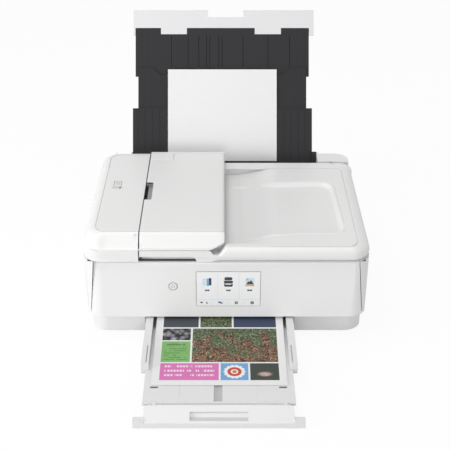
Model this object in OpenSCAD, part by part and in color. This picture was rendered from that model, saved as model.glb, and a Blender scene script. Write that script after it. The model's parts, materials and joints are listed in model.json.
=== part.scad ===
/* [Body] */
// Width of the printer body
body_w = 468; // [460:1:480]
// Depth of the printer body, front to rear
body_d = 366; // [366:1:372]
// Rounding of the body's four upright edges
body_r = 30; // [24:1:34]
// Thickness of the moulded outer walls
wall = 2.5; // [2:0.1:3]
// How far the sides lean in towards the table, each side
side_taper = 3; // [0:0.5:4]

/* [Heights] */
// Thickness of the rubber feet
foot_h = 1.5; // [1:0.5:3]
// Height of the join between base pan and main case
pan_h = 15; // [13:1:17]
// Height of the lower edge of the operation panel
panel_z = 41; // [40:0.5:43]
// Height of the join under the document cover
deck_z = 145.5; // [145:0.5:148]
// Height of the right half of the document cover
rim_z = 172; // [170:0.5:174]
// Height of the document feeder on the left
feeder_z = 190; // [188:0.5:192]

/* [Operation panel] */
// Lean of the panel's face
panel_lean = 3; // [0:0.5:4]
// Thickness of the panel
panel_t = 8; // [6:0.5:9]
// Width of the touch screen
screen_w = 106; // [90:1:115]
// Height of the touch screen
screen_h = 57; // [50:1:60]
// Diameter of the power button
button_d = 15; // [12:0.5:18]

/* [Paper] */
// Width of a sheet
sheet_w = 210; // [180:1:212]
// Length of a sheet
sheet_l = 297; // [290:1:300]
// Thickness of a loaded sheet or small stack
sheet_t = 0.4; // [0.3:0.1:0.6]

/* [Output trays] */
// Room beside a sheet, out to the side of the output tray
tray_side = 17.5; // [15:0.5:19]
// How far the output tray slides in
tray_travel = 118; // [100:1:120]
// How far the extension slides into the tray
extension_travel = 79; // [70:1:85]
// Width of the front support flap's foot
foot_bar_w = 256; // [250:1:260]

/* [Rear support] */
// Lean of the rear support from upright
support_lean = 28.6; // [25:0.1:31]
// Length of each support section that shows
section_h = 79; // [70:1:85]
// Thickness of each support section
section_t = 3; // [2.5:0.1:3.2]

/* [Mechanism] */
// Radius of the paper feed rollers
feed_r = 6.5; // [6:0.1:6.5]
// Radius of the carriage guide rod
guide_r = 5; // [4:0.1:5.5]
// Width of one ink tank
tank_w = 15.5; // [13:0.5:16]
// Gap of a running fit, on the radius
fit = 0.05; // [0.03:0.01:0.08]
// Gap between pieces that move past each other
gap = 0.5; // [0.4:0.1:0.6]

/* [Hidden] */
$fn = 48;

// Outer shell
half_w = body_w / 2;
front_y = -body_d / 2;
rear_y = body_d / 2;
// The lower front stands back under the panel, and the lower sides stand in a little
front_recess = 18;
side_recess = 5;
lower_x = half_w - side_recess;
lower_y = front_y + front_recess;
floor_z = foot_h + wall;
clear = 0.3;
far = 300;

// Output opening, trays and cassette, which lie a little left of the middle
tray_c = -11.5;
tray_w = sheet_w + 2 * tray_side;
tray_x0 = tray_c - tray_w / 2;
tray_x1 = tray_c + tray_w / 2;
tray_z = 19.2;
tray_top = 38;
tray_low_top = 30;
tray_step_y = -180;
tray_wall = 12;
tray_floor = 2;
tray_front = -310;
tray_rear = -75;
rail_w = 3.2;
rail_y0 = lower_y + 5;
rail_y1 = tray_rear + tray_travel + 5;
mouth_side = 3.5;
mouth_z = panel_z;
groove_d = 5;
extension_z = tray_z + tray_floor + clear;
extension_t = 4.5;
extension_front = -396;
extension_rear = tray_rear - extension_travel - 41;
crease_z = extension_z + extension_t;
flap_r = 3;
flap_axis_y = extension_front;
flap_axis_z = crease_z - flap_r;
cassette_x0 = tray_x0 + 3;
cassette_x1 = tray_x1 - 3;
cassette_y0 = lower_y + 3;
cassette_y1 = 88;
cassette_z0 = floor_z + clear;
cassette_z1 = 17.9;

// Operation panel: its own frame starts at the front edge of its foot
panel_h = (deck_z - panel_z) / cos(panel_lean);
panel_foot_w = half_w - 8;
panel_top_w = half_w - 18;
panel_round = 7;
panel_gap = 1;
panel_depth = 17;
niche_y = front_y + 23;
button_x = -88;
button_z = 58;
screen_c = 3;
screen_z = 28;
screen_t = 1.5;

// Hinge line of the scanner unit and the document cover
hinge_y = rear_y - 44;
hinge_z = rim_z - 6.5;
hinge_r = 2;
knuckle_r = 3.8;
cover_round = 6.5;
cover_rear = hinge_y + cover_round;
ear_x = half_w - 44.5;
ear_w = 4;
lug_x = ear_x + ear_w + 1;
lug_w = 5;
cover_ear_x = lug_x + lug_w + 1;

// Rear case and paper support: s runs up the lean, n stands off it towards the user
rear_z = 112;
rear_front = cover_rear + 2;
support_y = rear_y + 3;
support_z = 155;
slide_gap = 0.2;
lower_top = 101.8;
middle_top = lower_top + section_h - 0.8;
upper_top = middle_top + section_h - 1;
cap_top = upper_top + 34.7;
stack_n = 3 * section_t + 2 * slide_gap;
rear_sheet_x = -7.8;
hopper_x0 = rear_sheet_x - sheet_w / 2 - 68.2;
hopper_x1 = rear_sheet_x + sheet_w / 2 + 75.8;
middle_x0 = hopper_x0 + 10.5;
middle_x1 = hopper_x1 - 18.2;
upper_x0 = hopper_x0 + 5;
upper_x1 = hopper_x1 - 13;
front_sheet_x = -11.3;
rear_sheet_s = -120.3;

// Scanner
scan_x = half_w - 5;
scan_front = niche_y + wall + gap;
scan_draft = 4.4;
scan_z0 = rear_z;
glass_t = 2.2;
glass_x0 = -half_w + 52;
glass_x1 = half_w - 102;
glass_y0 = front_y + 61;
glass_y1 = hinge_y - 33;
strip_x0 = -half_w + 20;
strip_x1 = strip_x0 + 24;
strip_c = (strip_x0 + strip_x1) / 2;
scan_rod_y = (glass_y0 + glass_y1) / 2;
scan_rod_z = scan_z0 + 9;
scan_rod_r = 4;

// Document cover and feeder
cover_z = deck_z + 1;
seam_x = -half_w + 92;
seam = 0.9;
tray_edge = seam_x + 138.5;
bevel_z = 168;
bevel_side = 22;
bevel_front = 24;
feeder_rear = cover_rear + 4.5;
top_r = 10;
lip_z = 157;
feeder_axis_x = -half_w + 4.5;
feeder_axis_z = cover_z + 5;
feeder_barrel = 4.5;
doc_axis_x = tray_edge - 4.5;
doc_axis_z = feeder_z - 4.5;
doc_barrel = 4.5;
stub_r = 1.5;
roller_x = seam_x - 23;
roller_z = feeder_z - 24;
// Front and rear ends of the feeder cover's barrel, and the tray's finger notch
feeder_y0 = front_y + 33;
feeder_y1 = hinge_y + 1;
notch_y0 = -46;
notch_y1 = 20;
// Bed of the pages that come out: it starts under the tray and rises to the rim
bed_x0 = seam_x + 82;
bed_y1 = hinge_y - 32;
slope_x0 = tray_edge + 28.5;
slope_w = 65;
basin_x0 = slope_x0 - 15;
basin_x1 = half_w - 40;
basin_y0 = front_y + 48;
basin_y1 = hinge_y - 94;
deck_x1 = doc_axis_x - 6;
feeder_deck = feeder_z - 12;

// Paper path
shaft_r = 3;
feed_y = 88;
feed_z = 43;
eject_y = -55;
eject_x = [-100, -48, 14, 66];
pulley_r = 8;
teeth_feed = 40;
teeth_turn = 24;
teeth_motor = 12;
turn_angle = -30;
turn_dist = (teeth_feed + teeth_turn) / 2;
pinch_r = 4;
pinch_z = feed_z + feed_r + pinch_r + 0.6;
pinch_x0 = tray_x0 - 31;
pinch_x1 = tray_x1 + 41;
star_r = 4.6;
star_z = feed_z + feed_r + star_r + 0.8;
star_x0 = tray_x0;
star_x1 = tray_x1 + 1;
platen_x0 = tray_x0 - 31;
platen_x1 = tray_x1 + 24;
turn_y = feed_y + turn_dist * cos(turn_angle);
turn_z = feed_z + turn_dist * sin(turn_angle);
motor_z = feed_z + (teeth_feed + teeth_motor) / 2;
plate_x = half_w - 22;
plate_t = 1.5;
gear_x = -plate_x - plate_t - 6;
gear_w = 4.5;
belt_x = gear_x - 6;
pick_y = feed_y - 26;
pick_z = 28;
pick_axis_y = feed_y - 3;
pick_axis_z = 30;

// Electronics, sockets and the rear hatch
board_x0 = tray_x1 + 10;
board_x1 = plate_x - 6;
board_y0 = lower_y + 15;
board_y1 = eject_y - 17;
supply_x0 = -plate_x + 7;
supply_x1 = tray_x0 - 16;
inlet_x = -lower_x + 37;
inlet_z = 44;
usb_x = lower_x - 61;
lan_x = lower_x - 42.5;
hatch_x0 = tray_x0 + 14;
hatch_x1 = tray_x1 - 11;
hatch_z = 21.5;
knuckle_x0 = tray_x0 + 22;
knuckle_x1 = tray_x1 - 26;

// Carriage
rod_y = feed_y - 41;
rod_z = 64;
web_y = feed_y - 22;
park_x = plate_x - 52;
carriage_w = 96;
carriage_y0 = -40;
carriage_y1 = 56;
carriage_z0 = 53;
carriage_z1 = 108;
tank_pitch = 17.8;
belt_z = 85;
pulley_x = plate_x - 14;
carriage_belt_r = 6;

// A box between two limits on each axis
module span(x0, x1, y0, y1, z0, z1)
  translate([x0, y0, z0]) cube([x1 - x0, y1 - y0, z1 - z0]);

// What a round corner takes off a square one, in the quadrant that sx and sy name
module corner_off(x, y, sx, sy, r)
  translate([x - sx * r, y - sy * r])
    difference() {
      translate([sx > 0 ? 0 : -r - 1, sy > 0 ? 0 : -r - 1]) square(r + 1);
      circle(r);
    }

// A rectangle with one radius on its front corners and another on its rear ones
module plan(x0, x1, y0, y1, rf, rr)
  difference() {
    translate([x0, y0]) square([x1 - x0, y1 - y0]);
    if (rf > 0) corner_off(x0, y0, -1, -1, rf);
    if (rf > 0) corner_off(x1, y0, 1, -1, rf);
    if (rr > 0) corner_off(x0, y1, -1, 1, rr);
    if (rr > 0) corner_off(x1, y1, 1, 1, rr);
  }

module slab(x0, x1, y0, y1, rf, rr, z0, z1)
  translate([0, 0, z0]) linear_extrude(z1 - z0) plan(x0, x1, y0, y1, rf, rr);

// An outline in Y and Z, drawn out along X
module along_x(x0, x1)
  translate([x0, 0, 0]) rotate([90, 0, 90]) linear_extrude(x1 - x0) children();

// An outline in X and Z, drawn out along Y
module along_y(y0, y1)
  translate([0, y1, 0]) rotate([90, 0, 0]) linear_extrude(y1 - y0) children();

module rod_x(x0, x1, y, z, r)
  translate([x0, y, z]) rotate([0, 90, 0]) cylinder(h = x1 - x0, r = r);

module rod_y(y0, y1, x, z, r)
  translate([x, y0, z]) rotate([-90, 0, 0]) cylinder(h = y1 - y0, r = r);

// The same thing on the left and on the right
module both_sides() {
  children();
  mirror([1, 0, 0]) children();
}

// Frame of the rear support: Y runs up the lean, Z stands off it towards the user
module on_support()
  translate([0, support_y, support_z]) rotate([90 - support_lean, 0, 0]) children();

// Frame of the operation panel: Y goes into the body, Z up the face
module on_panel()
  translate([0, front_y, panel_z]) rotate([-panel_lean, 0, 0]) children();

// Outline of a loop round two equal pulleys
module loop_2d(length, r) {
  translate([0, -r]) square([length, 2 * r]);
  circle(r);
  translate([length, 0]) circle(r);
}

// Outline of a gear of module 1; turn is the angle of one of its teeth
module gear_2d(teeth, turn) {
  pitch = 360 / teeth;
  root = teeth / 2 - 1.2;
  tip = teeth / 2 + 0.8;
  polygon([for (i = [0:teeth - 1], k = [[-0.31, root], [-0.14, tip], [0.14, tip], [0.31, root]])
    let (a = turn + pitch * (i + k[0])) [k[1] * cos(a), k[1] * sin(a)]]);
}

// Angle of a tooth on a gear that meshes with another at the direction given
function mesh_turn(teeth, other_teeth, other_turn, direction) =
  direction + 180 - (other_turn - direction) * other_teeth / teeth + 180 / teeth;

/* ---- Housing ---- */

module rubber_feet()
  color("dimgray")
    both_sides() for (y = [-135, 155]) translate([lower_x - 34, y, 0]) cylinder(h = foot_h, r = 9);

module base_pan()
  color("whitesmoke") {
    difference() {
      slab(-lower_x, lower_x, lower_y, rear_y, body_r, body_r, foot_h, pan_h);
      slab(-lower_x + wall, lower_x - wall, lower_y + wall, rear_y - wall, body_r - wall,
        body_r - wall, floor_z, pan_h + 1);
      span(tray_x0, tray_x1, lower_y - 1, lower_y + wall + 1, floor_z, pan_h + 1);
    }
    // Middle foot, which the part is placed by
    cylinder(h = foot_h, r = 12);
    // Rails that carry the output tray and guide the cassette
    for (side = [0, 1])
      translate([tray_c, 0, 0]) mirror([side, 0, 0]) {
        span(tray_w / 2 + clear, tray_w / 2 + clear + rail_w, rail_y0, rail_y1, floor_z - 0.5, 34);
        span(tray_w / 2 - 2.5, tray_w / 2 + clear + rail_w, rail_y0, rail_y1, tray_z - 1,
          tray_z - slide_gap);
      }
    // Posts under the main board
    for (x = [board_x0 + 7, board_x1 - 8], y = [board_y0 + 8, board_y1 - 8])
      translate([x, y, floor_z - 0.5]) cylinder(h = 26.5, r = 3);
  }

// Width of the body at a height, with the lean of its sides
module tapered(inset)
  along_y(front_y - 1, rear_y + 1)
    polygon([[-half_w + side_taper + inset, 0], [half_w - side_taper - inset, 0],
      [half_w - inset, deck_z], [half_w - inset, far], [-half_w + inset, far],
      [-half_w + inset, deck_z]]);

// Room for the operation panel, grown for the walls round it
module panel_niche(grow, y1)
  along_y(front_y - far, y1)
    polygon([[-panel_foot_w - panel_gap - grow, panel_z - grow],
      [panel_foot_w + panel_gap + grow, panel_z - grow],
      [panel_top_w + panel_gap + grow, deck_z], [panel_top_w + panel_gap + grow, far],
      [-panel_top_w - panel_gap - grow, far], [-panel_top_w - panel_gap - grow, deck_z]]);

module main_case()
  color("whitesmoke")
    difference() {
      union() {
        difference() {
          intersection() {
            union() {
              slab(-lower_x, lower_x, lower_y, rear_y, body_r, body_r, pan_h, panel_z);
              slab(-half_w, half_w, front_y, rear_y, body_r, body_r, panel_z, deck_z);
            }
            tapered(0);
          }
          difference() {
            intersection() {
              union() {
                slab(-lower_x + wall, lower_x - wall, lower_y + wall, rear_y - wall,
                  body_r - wall, body_r - wall, pan_h - 1, deck_z + 1);
                slab(-half_w + wall, half_w - wall, front_y + wall, rear_y - wall,
                  body_r - wall, body_r - wall, panel_z + wall, deck_z + 1);
              }
              tapered(wall);
            }
            panel_niche(wall, niche_y + wall);
          }
          panel_niche(0, niche_y);
        }
        // Ledges that the scanner unit closes on
        both_sides()
          span(scan_x - 5, half_w - 2.5, front_y + 43, hinge_y - 9, rear_z - 4, rear_z - clear);
        // Hinge ears of the rear cover
        for (x = [hatch_x0 - 4.5, hatch_x1 + 0.5])
          span(x, x + 4, rear_y - 6, rear_y - 1, hatch_z - 4.5, hatch_z + 4.5);
      }
      // Mouth of the output tray and the cassette
      span(tray_x0 - mouth_side, tray_x1 + mouth_side, lower_y - 5, niche_y + 5, pan_h - 1, mouth_z);
      // Room for the rear case
      span(-far, far, rear_front - 0.5, far, rear_z, far);
      // Openings for the rear cover, the inlet and the ports
      span(hatch_x0, hatch_x1, rear_y - 9, rear_y + 1, hatch_z - 3, 95);
      rod_x(hatch_x0 - 4, hatch_x1 + 4, rear_y - wall, hatch_z, stub_r + fit);
      span(inlet_x - 12, inlet_x + 12, rear_y - 5, rear_y + 1, inlet_z - 8, inlet_z + 8);
      span(usb_x - 7.5, lan_x + 9, rear_y - 5, rear_y + 1, 33.5, 48.5);
      // Holes for the panel's hinge pins
      on_panel()
        rod_x(-panel_top_w - 4.5, panel_top_w + 4.5, panel_round, panel_h - panel_round, hinge_r + fit);
    }

module rear_case()
  color("whitesmoke")
    difference() {
      union() {
        difference() {
          intersection() {
            slab(-half_w + 3, half_w - 3, rear_y - 90, rear_y, 0, 26, rear_z, rim_z);
            span(-far, far, rear_front, far, 0, far);
          }
          // The feeder swings down over the left side, which stays low
          span(-far, hopper_x0, rear_front - 1, far, deck_z - gap, far);
          span(hopper_x0, hopper_x1, rear_front + wall, rear_y + 1, rear_z - 1, far);
          span(hopper_x0 - 1, hopper_x1, rear_front - 1, rear_front + wall + 1, cover_z, far);
          span(hopper_x1 + wall, half_w - 8, rear_front + wall, rear_y - wall, rear_z - 1, rim_z - wall);
          span(-half_w + 8, hopper_x0 - wall, rear_front + wall, rear_y - wall, rear_z - 1,
            deck_z - gap - wall);
        }
        span(hopper_x0 - 1, hopper_x1 + 1, rear_y - wall, rear_y, rear_z, 127);
        // Hood behind the sliding sections
        on_support() {
          span(hopper_x0 - wall - clear, hopper_x1 + wall + clear, -34, 17, -stack_n - 3.5, -stack_n - 1);
          for (x = [hopper_x0 - wall - clear, hopper_x1 + clear])
            span(x, x + wall, -34, 17, -stack_n - 3.5, 4);
        }
        // Hinge posts
        both_sides() hinge_post();
      }
      rod_x(-lug_x - lug_w - 1, -lug_x + 1, hinge_y, hinge_z, hinge_r + fit);
      rod_x(lug_x - 1, lug_x + lug_w + 1, hinge_y, hinge_z, hinge_r + fit);
    }

module hinge_post() {
  span(lug_x, lug_x + lug_w, hinge_y - knuckle_r, hinge_y + knuckle_r, rear_z + 2, hinge_z);
  span(lug_x, lug_x + lug_w, hinge_y, rear_front + 1, rear_z + 2, rear_z + 28);
  rod_x(lug_x, lug_x + lug_w, hinge_y, hinge_z, knuckle_r);
}

module rear_cover()
  color("gainsboro") {
    difference() {
      union() {
        span(hatch_x0 + gap, hatch_x1 - gap, rear_y - wall, rear_y, hatch_z, 94.5);
        rod_x(hatch_x0 + gap, hatch_x1 - gap, rear_y - wall, hatch_z, wall);
        for (x = [hatch_x0 + 15:28:hatch_x1 - 9])
          span(x, x + 2, rear_y - 12, rear_y - wall + 0.5, 28, 90);
      }
      // Finger recess at the top edge
      span(tray_c - 18.5, tray_c + 21.5, rear_y - 1.2, rear_y + 1, 84, 96);
    }
    rod_x(hatch_x0 - 3.5, hatch_x0 + 1, rear_y - wall, hatch_z, stub_r);
    rod_x(hatch_x1 - 1, hatch_x1 + 3.5, rear_y - wall, hatch_z, stub_r);
  }

module power_inlet()
  color("black") {
    difference() {
      span(inlet_x - 11.7, inlet_x + 11.7, rear_y - 20, rear_y - 0.5, inlet_z - 7.7, inlet_z + 7.7);
      translate([0, rear_y - 14, 0]) along_y(0, 20)
        translate([inlet_x, inlet_z]) loop_2d_centred(7.5, 4.6);
    }
    for (x = [inlet_x - 4.3, inlet_x + 4.3]) rod_y(rear_y - 15, rear_y - 6, x, inlet_z, 1.2);
  }

module loop_2d_centred(length, r) translate([-length / 2, 0]) loop_2d(length, r);

module data_ports()
  color("darkgray") {
    difference() {
      span(usb_x - 7, usb_x + 7, rear_y - 18, rear_y - 0.5, 34, 47);
      span(usb_x - 4.5, usb_x + 4.5, rear_y - 12, rear_y + 1, 36, 45);
    }
    difference() {
      span(lan_x - 8.5, lan_x + 8.5, rear_y - 20, rear_y - 0.5, 34, 48);
      span(lan_x - 6, lan_x + 6, rear_y - 14, rear_y + 1, 36, 45.5);
    }
  }

/* ---- Paper path ---- */

module chassis_frame()
  color("silver")
    difference() {
      union() {
        // Rear web that carries the carriage belt, and the rail of the carriage's foot
        span(-plate_x - plate_t, plate_x + plate_t, web_y, web_y + plate_t, 58, 108);
        span(-plate_x - plate_t, plate_x + plate_t, -52, -50.5, 92, 100);
        span(-plate_x - plate_t, plate_x + plate_t, -52, -44, 98.5, 100);
        // Side plates with their feet
        both_sides() {
          span(plate_x, plate_x + plate_t, -66, 134, floor_z, 108);
          for (y = [-60, 30, 112]) span(plate_x, plate_x + 9, y, y + 14, floor_z, floor_z + plate_t);
        }
        // Bar of the star wheels, with its hangers
        span(-plate_x - plate_t, plate_x + plate_t, eject_y - 6, eject_y + 5, 60, 60 + plate_t);
        for (x = [star_x0, star_x1])
          span(x, x + plate_t, eject_y - 4, eject_y + 4, star_z - 3.4, 61);
        // Arms of the pinch rollers
        for (x = [pinch_x0, pinch_x1]) span(x, x + plate_t, web_y, feed_y + 5, pinch_z - 3.6, 64);
      }
      both_sides() {
        rod_x(plate_x - 1, plate_x + 3, rod_y, rod_z, guide_r + fit);
        rod_x(plate_x - 1, plate_x + 3, feed_y, feed_z, shaft_r + fit);
        rod_x(plate_x - 1, plate_x + 3, eject_y, feed_z, shaft_r + fit);
        rod_x(plate_x - 1, plate_x + 3, turn_y, turn_z, shaft_r + fit);
        rod_y(web_y - 1, web_y + 3, pulley_x, belt_z, stub_r + fit);
      }
      rod_x(-plate_x - 3, -plate_x + 1, feed_y, motor_z, stub_r + fit);
      rod_x(star_x0 - 2, star_x1 + 3, eject_y, star_z, 1.2 + fit);
      rod_x(pinch_x0 - 2, pinch_x1 + 3, feed_y, pinch_z, stub_r + fit);
    }

module platen()
  color("dimgray")
    difference() {
      union() {
        span(platen_x0, platen_x1, -40, feed_y - 14, 44, 49.4);
        for (x = [platen_x0 + 8:22:platen_x1 - 6]) span(x, x + 1.2, -36, feed_y - 18, 49, 50.2);
        // Legs each side of the output tray
        for (x = [tray_x0 - 14, tray_x1 + 7]) span(x, x + 6, -30, 60, floor_z, 45);
        // Bracket of the pickup arm
        for (x = [-32, 8])
          along_x(x, x + 4)
            polygon([[feed_y - 38, 44.5], [feed_y - 14, 44.5], [feed_y - 12, 35.5], [feed_y + 2, 35.5],
              [feed_y + 2, 26], [feed_y - 8, 26], [feed_y - 16, 34]]);
      }
      rod_x(-33, 13, pick_axis_y, pick_axis_z, 2.5 + fit);
      // Slots that thin the plate between its ribs
      for (x = [platen_x0 + 15:44:platen_x1 - 21]) span(x, x + 26, -24, 50, 47, 51);
    }

module guide_rod() color("silver") rod_x(-plate_x - plate_t, plate_x + plate_t, rod_y, rod_z, guide_r);

module drive_shaft(y, z)
  rod_x(belt_x - 1, plate_x + plate_t + 1.5, y, z, shaft_r);

module feed_roller()
  color("dimgray") {
    drive_shaft(feed_y, feed_z);
    rod_x(-plate_x + 12, plate_x - 12, feed_y, feed_z, feed_r);
    rod_x(belt_x, belt_x + 4.6, feed_y, feed_z, pulley_r);
  }

feed_turn = turn_angle;

// A gear on a shaft along X; a turn of the 2D outline runs from Y towards Z
module gear(teeth, turn, y, z, bore)
  translate([0, y, z])
    difference() {
      along_x(gear_x, gear_x + gear_w) gear_2d(teeth, turn);
      rod_x(gear_x - 1, gear_x + gear_w + 1, 0, 0, bore);
    }

module feed_gear()
  color("white")
    difference() {
      gear(teeth_feed, feed_turn, feed_y, feed_z, shaft_r + fit);
      for (a = [0:60:300])
        translate([0, feed_y, feed_z]) rotate([a, 0, 0])
          rod_x(gear_x - 1, gear_x + gear_w + 1, 11.5, 0, 3.6);
    }

module motor_pinion()
  color("gold") {
    gear(teeth_motor, mesh_turn(teeth_motor, teeth_feed, feed_turn, 90), feed_y, motor_z, 1);
    rod_x(gear_x, -plate_x + 1, feed_y, motor_z, stub_r);
  }

module feed_motor()
  color("darkgray")
    difference() {
      union() {
        rod_x(-plate_x, -plate_x + 20, feed_y, motor_z, 14);
        rod_x(-plate_x + 20, -plate_x + 22, feed_y, motor_z, 5);
        span(-plate_x, -plate_x + 1.2, feed_y - 18, feed_y + 18, motor_z - 7, motor_z + 7);
      }
      rod_x(-plate_x - 1, -plate_x + 3, feed_y, motor_z, stub_r + fit);
    }

module turn_roller()
  color("dimgray") {
    rod_x(gear_x, plate_x + plate_t + 1.5, turn_y, turn_z, shaft_r);
    for (x = [-62, 14]) rod_x(x, x + 28, turn_y, turn_z, 19);
    rod_x(-34, 14, turn_y, turn_z, 8);
    translate([0, turn_y, turn_z])
      along_x(gear_x, gear_x + gear_w)
        gear_2d(teeth_turn, mesh_turn(teeth_turn, teeth_feed, feed_turn, turn_angle));
  }

module eject_roller()
  color("dimgray") {
    drive_shaft(eject_y, feed_z);
    for (x = eject_x) rod_x(x, x + 11, eject_y, feed_z, feed_r);
    rod_x(belt_x, belt_x + 4.6, eject_y, feed_z, pulley_r);
  }

module pinch_rollers()
  color("gainsboro") {
    rod_x(pinch_x0 - 1, pinch_x1 + 3, feed_y, pinch_z, stub_r);
    for (x = [-150, -62, 14, 104]) rod_x(x, x + 34, feed_y, pinch_z, pinch_r);
  }

module star_wheels()
  color("silver") {
    rod_x(star_x0 - 1, star_x1 + 2, eject_y, star_z, 1.2);
    for (x = eject_x) rod_x(x + 5, x + 5.8, eject_y, star_z, star_r);
  }

module paper_belt()
  color("black")
    translate([0, eject_y, feed_z])
      along_x(belt_x + 0.5, belt_x + 4.1)
        difference() {
          loop_2d(feed_y - eject_y, pulley_r + 1.3);
          loop_2d(feed_y - eject_y, pulley_r + 0.1);
        }

module pickup_arm()
  color("gainsboro")
    difference() {
      union() {
        rod_x(-32.5, 12.5, pick_axis_y, pick_axis_z, 2.5);
        for (x = [-26, 3])
          along_x(x, x + 3) difference() {
            union() {
              translate([pick_axis_y, pick_axis_z]) circle(4.5);
              translate([pick_y, pick_z]) circle(4);
              polygon([[pick_y, pick_z - 4], [pick_axis_y, pick_axis_z - 4.5],
                [pick_axis_y, pick_axis_z + 4.5], [pick_y, pick_z + 4]]);
            }
          }
      }
      rod_x(-27, 7, pick_y, pick_z, stub_r + fit);
    }

module pickup_roller()
  color("dimgray") {
    rod_x(-27.5, 7.5, pick_y, pick_z, stub_r);
    rod_x(-22.5, 2.5, pick_y, pick_z, 8.5);
  }

/* ---- Carriage ---- */

module print_carriage()
  color("dimgray")
    difference() {
      union() {
        span(park_x - carriage_w / 2, park_x + carriage_w / 2, carriage_y0, carriage_y1, carriage_z0, 76);
        span(park_x - carriage_w / 2, park_x + carriage_w / 2, carriage_y0, 40, 70, carriage_z1);
        // Foot that slides on the front rail
        span(park_x - 22, park_x + 22, -50, carriage_y0 + 1, 100 + clear, 104);
        // Clamp on the belt
        span(park_x - 10, park_x + 10, 38, 57.6, 74, belt_z + 4);
      }
      span(park_x - carriage_w / 2 + 2.5, park_x + carriage_w / 2 - 2.5, carriage_y0 + 2.5, 36.5, 59, far);
      rod_x(park_x - carriage_w, park_x + carriage_w, rod_y, rod_z, guide_r + fit);
      // Front of the bay is low, so that the tanks can be pinched out
      span(park_x - 40, park_x + 40, carriage_y0 - 1, carriage_y0 + 4, 84, 99);
    }

module print_head()
  color("silver") span(park_x - 35, park_x + 35, -25, 25, carriage_z0 - 1.6, carriage_z0);

module ink_tank(i, tone)
  color(tone)
    translate([park_x + (i - 3) * tank_pitch - tank_w / 2, 0, 0]) {
      span(0, tank_w, -36, 35.5, 59, 101);
      span(1.5, tank_w - 1.5, -36.5, -30, 88, 105);
      span(3, tank_w - 3, -26, 26, 100.5, 103);
    }

module ink_tank_1() ink_tank(1, "black");
module ink_tank_2() ink_tank(2, "dimgray");
module ink_tank_3() ink_tank(3, "deepskyblue");
module ink_tank_4() ink_tank(4, "deeppink");
module ink_tank_5() ink_tank(5, "gold");

module carriage_belt()
  color("black")
    translate([-pulley_x, 0, belt_z])
      along_y(58.4, 63.2)
        difference() {
          loop_2d(2 * pulley_x, carriage_belt_r + 1.2);
          loop_2d(2 * pulley_x, carriage_belt_r + 0.1);
        }

module pulley(x)
  union() {
    rod_y(57.2, web_y + plate_t, x, belt_z, stub_r);
    rod_y(57.2, 63.8, x, belt_z, carriage_belt_r);
    rod_y(57.2, 58, x, belt_z, carriage_belt_r + 2);
    rod_y(63.6, 64.4, x, belt_z, carriage_belt_r + 2);
  }

module drive_pulley() color("gold") pulley(pulley_x);
module idler_pulley() color("gold") pulley(-pulley_x);

module carriage_motor()
  color("darkgray") {
    rod_y(web_y + plate_t, web_y + plate_t + 27, pulley_x, belt_z, 12.5);
    rod_y(web_y + plate_t + 27, web_y + plate_t + 29, pulley_x, belt_z, 4);
  }

module maintenance_station()
  color("gray") {
    difference() {
      span(park_x - 20, plate_x - 6, -34, 50, floor_z, 46);
      span(park_x - 16, plate_x - 10, -30, 28, 40, 47);
    }
    // Cap that seals the print head, and the wiper blade
    difference() {
      span(park_x - 12, park_x + 18, -24, 24, 39.5, 51.1);
      span(park_x - 10, park_x + 16, -22, 22, 48, 52);
    }
    span(park_x + 26, park_x + 27.2, -24, 24, 39.5, 51.1);
  }

module main_board()
  color("darkgreen") {
    span(board_x0, board_x1, board_y0, board_y1, 30, 31.6);
    // Chips and connectors: place on the board, size and height
    for (c = [[board_x0 + 13, board_y0 + 18, 18, 18, 2.3], [board_x1 - 42, board_y0 + 24, 12, 12, 1.9],
        [board_x1 - 24, board_y0 + 14, 10, 22, 3.1], [board_x0 + 11, board_y1 - 24, 24, 9, 6.1],
        [board_x1 - 40, board_y1 - 28, 30, 8, 7.1]])
      translate([c[0], c[1], 31.5]) cube([c[2], c[3], c[4]]);
    for (i = [0:3]) translate([board_x1 - 56 + 13 * i, board_y1 - 12, 31.5]) cylinder(h = 11, r = 4);
  }

module power_supply()
  color("darkgray")
    difference() {
      span(supply_x0, supply_x1, board_y0, board_y1, floor_z, 56);
      // Vent slots at both ends
      for (x = [supply_x0 + 4:5:supply_x1 - 5], y = [board_y0 - 1, board_y1 - 2])
        span(x, x + 2.5, y, y + 3, 16, 46);
    }

/* ---- Rear support and paper ---- */

module rear_feed_tray()
  color([0.2, 0.2, 0.21])
    on_support() {
      difference() {
        span(hopper_x0 + clear, hopper_x1 - 7.5, -112, lower_top, -section_t, 0);
        // Cut-outs at the foot for the separation pad
        span(-24, 8, -113, -104, -section_t - 1, 1);
      }
      // Side rails of the middle section
      span(hopper_x0 + clear, middle_x0 - clear, -20, 98, -2 * section_t - slide_gap, -section_t + 0.1);
      span(middle_x1 + clear, hopper_x1 - 7.5, -20, 98, -2 * section_t - slide_gap, -section_t + 0.1);
      // Foot block at the right
      span(hopper_x1 - 8, hopper_x1 - clear, -20, 17.5, -section_t, 5);
      // Ribs beside the paper
      for (i = [0:3]) {
        for (x = [hopper_x0 + 9 + 14 * i, hopper_x1 - 63 + 14 * i])
          span(x, x + 1, 4, lower_top - 2, -0.5, 0.5);
      }
    }

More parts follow.
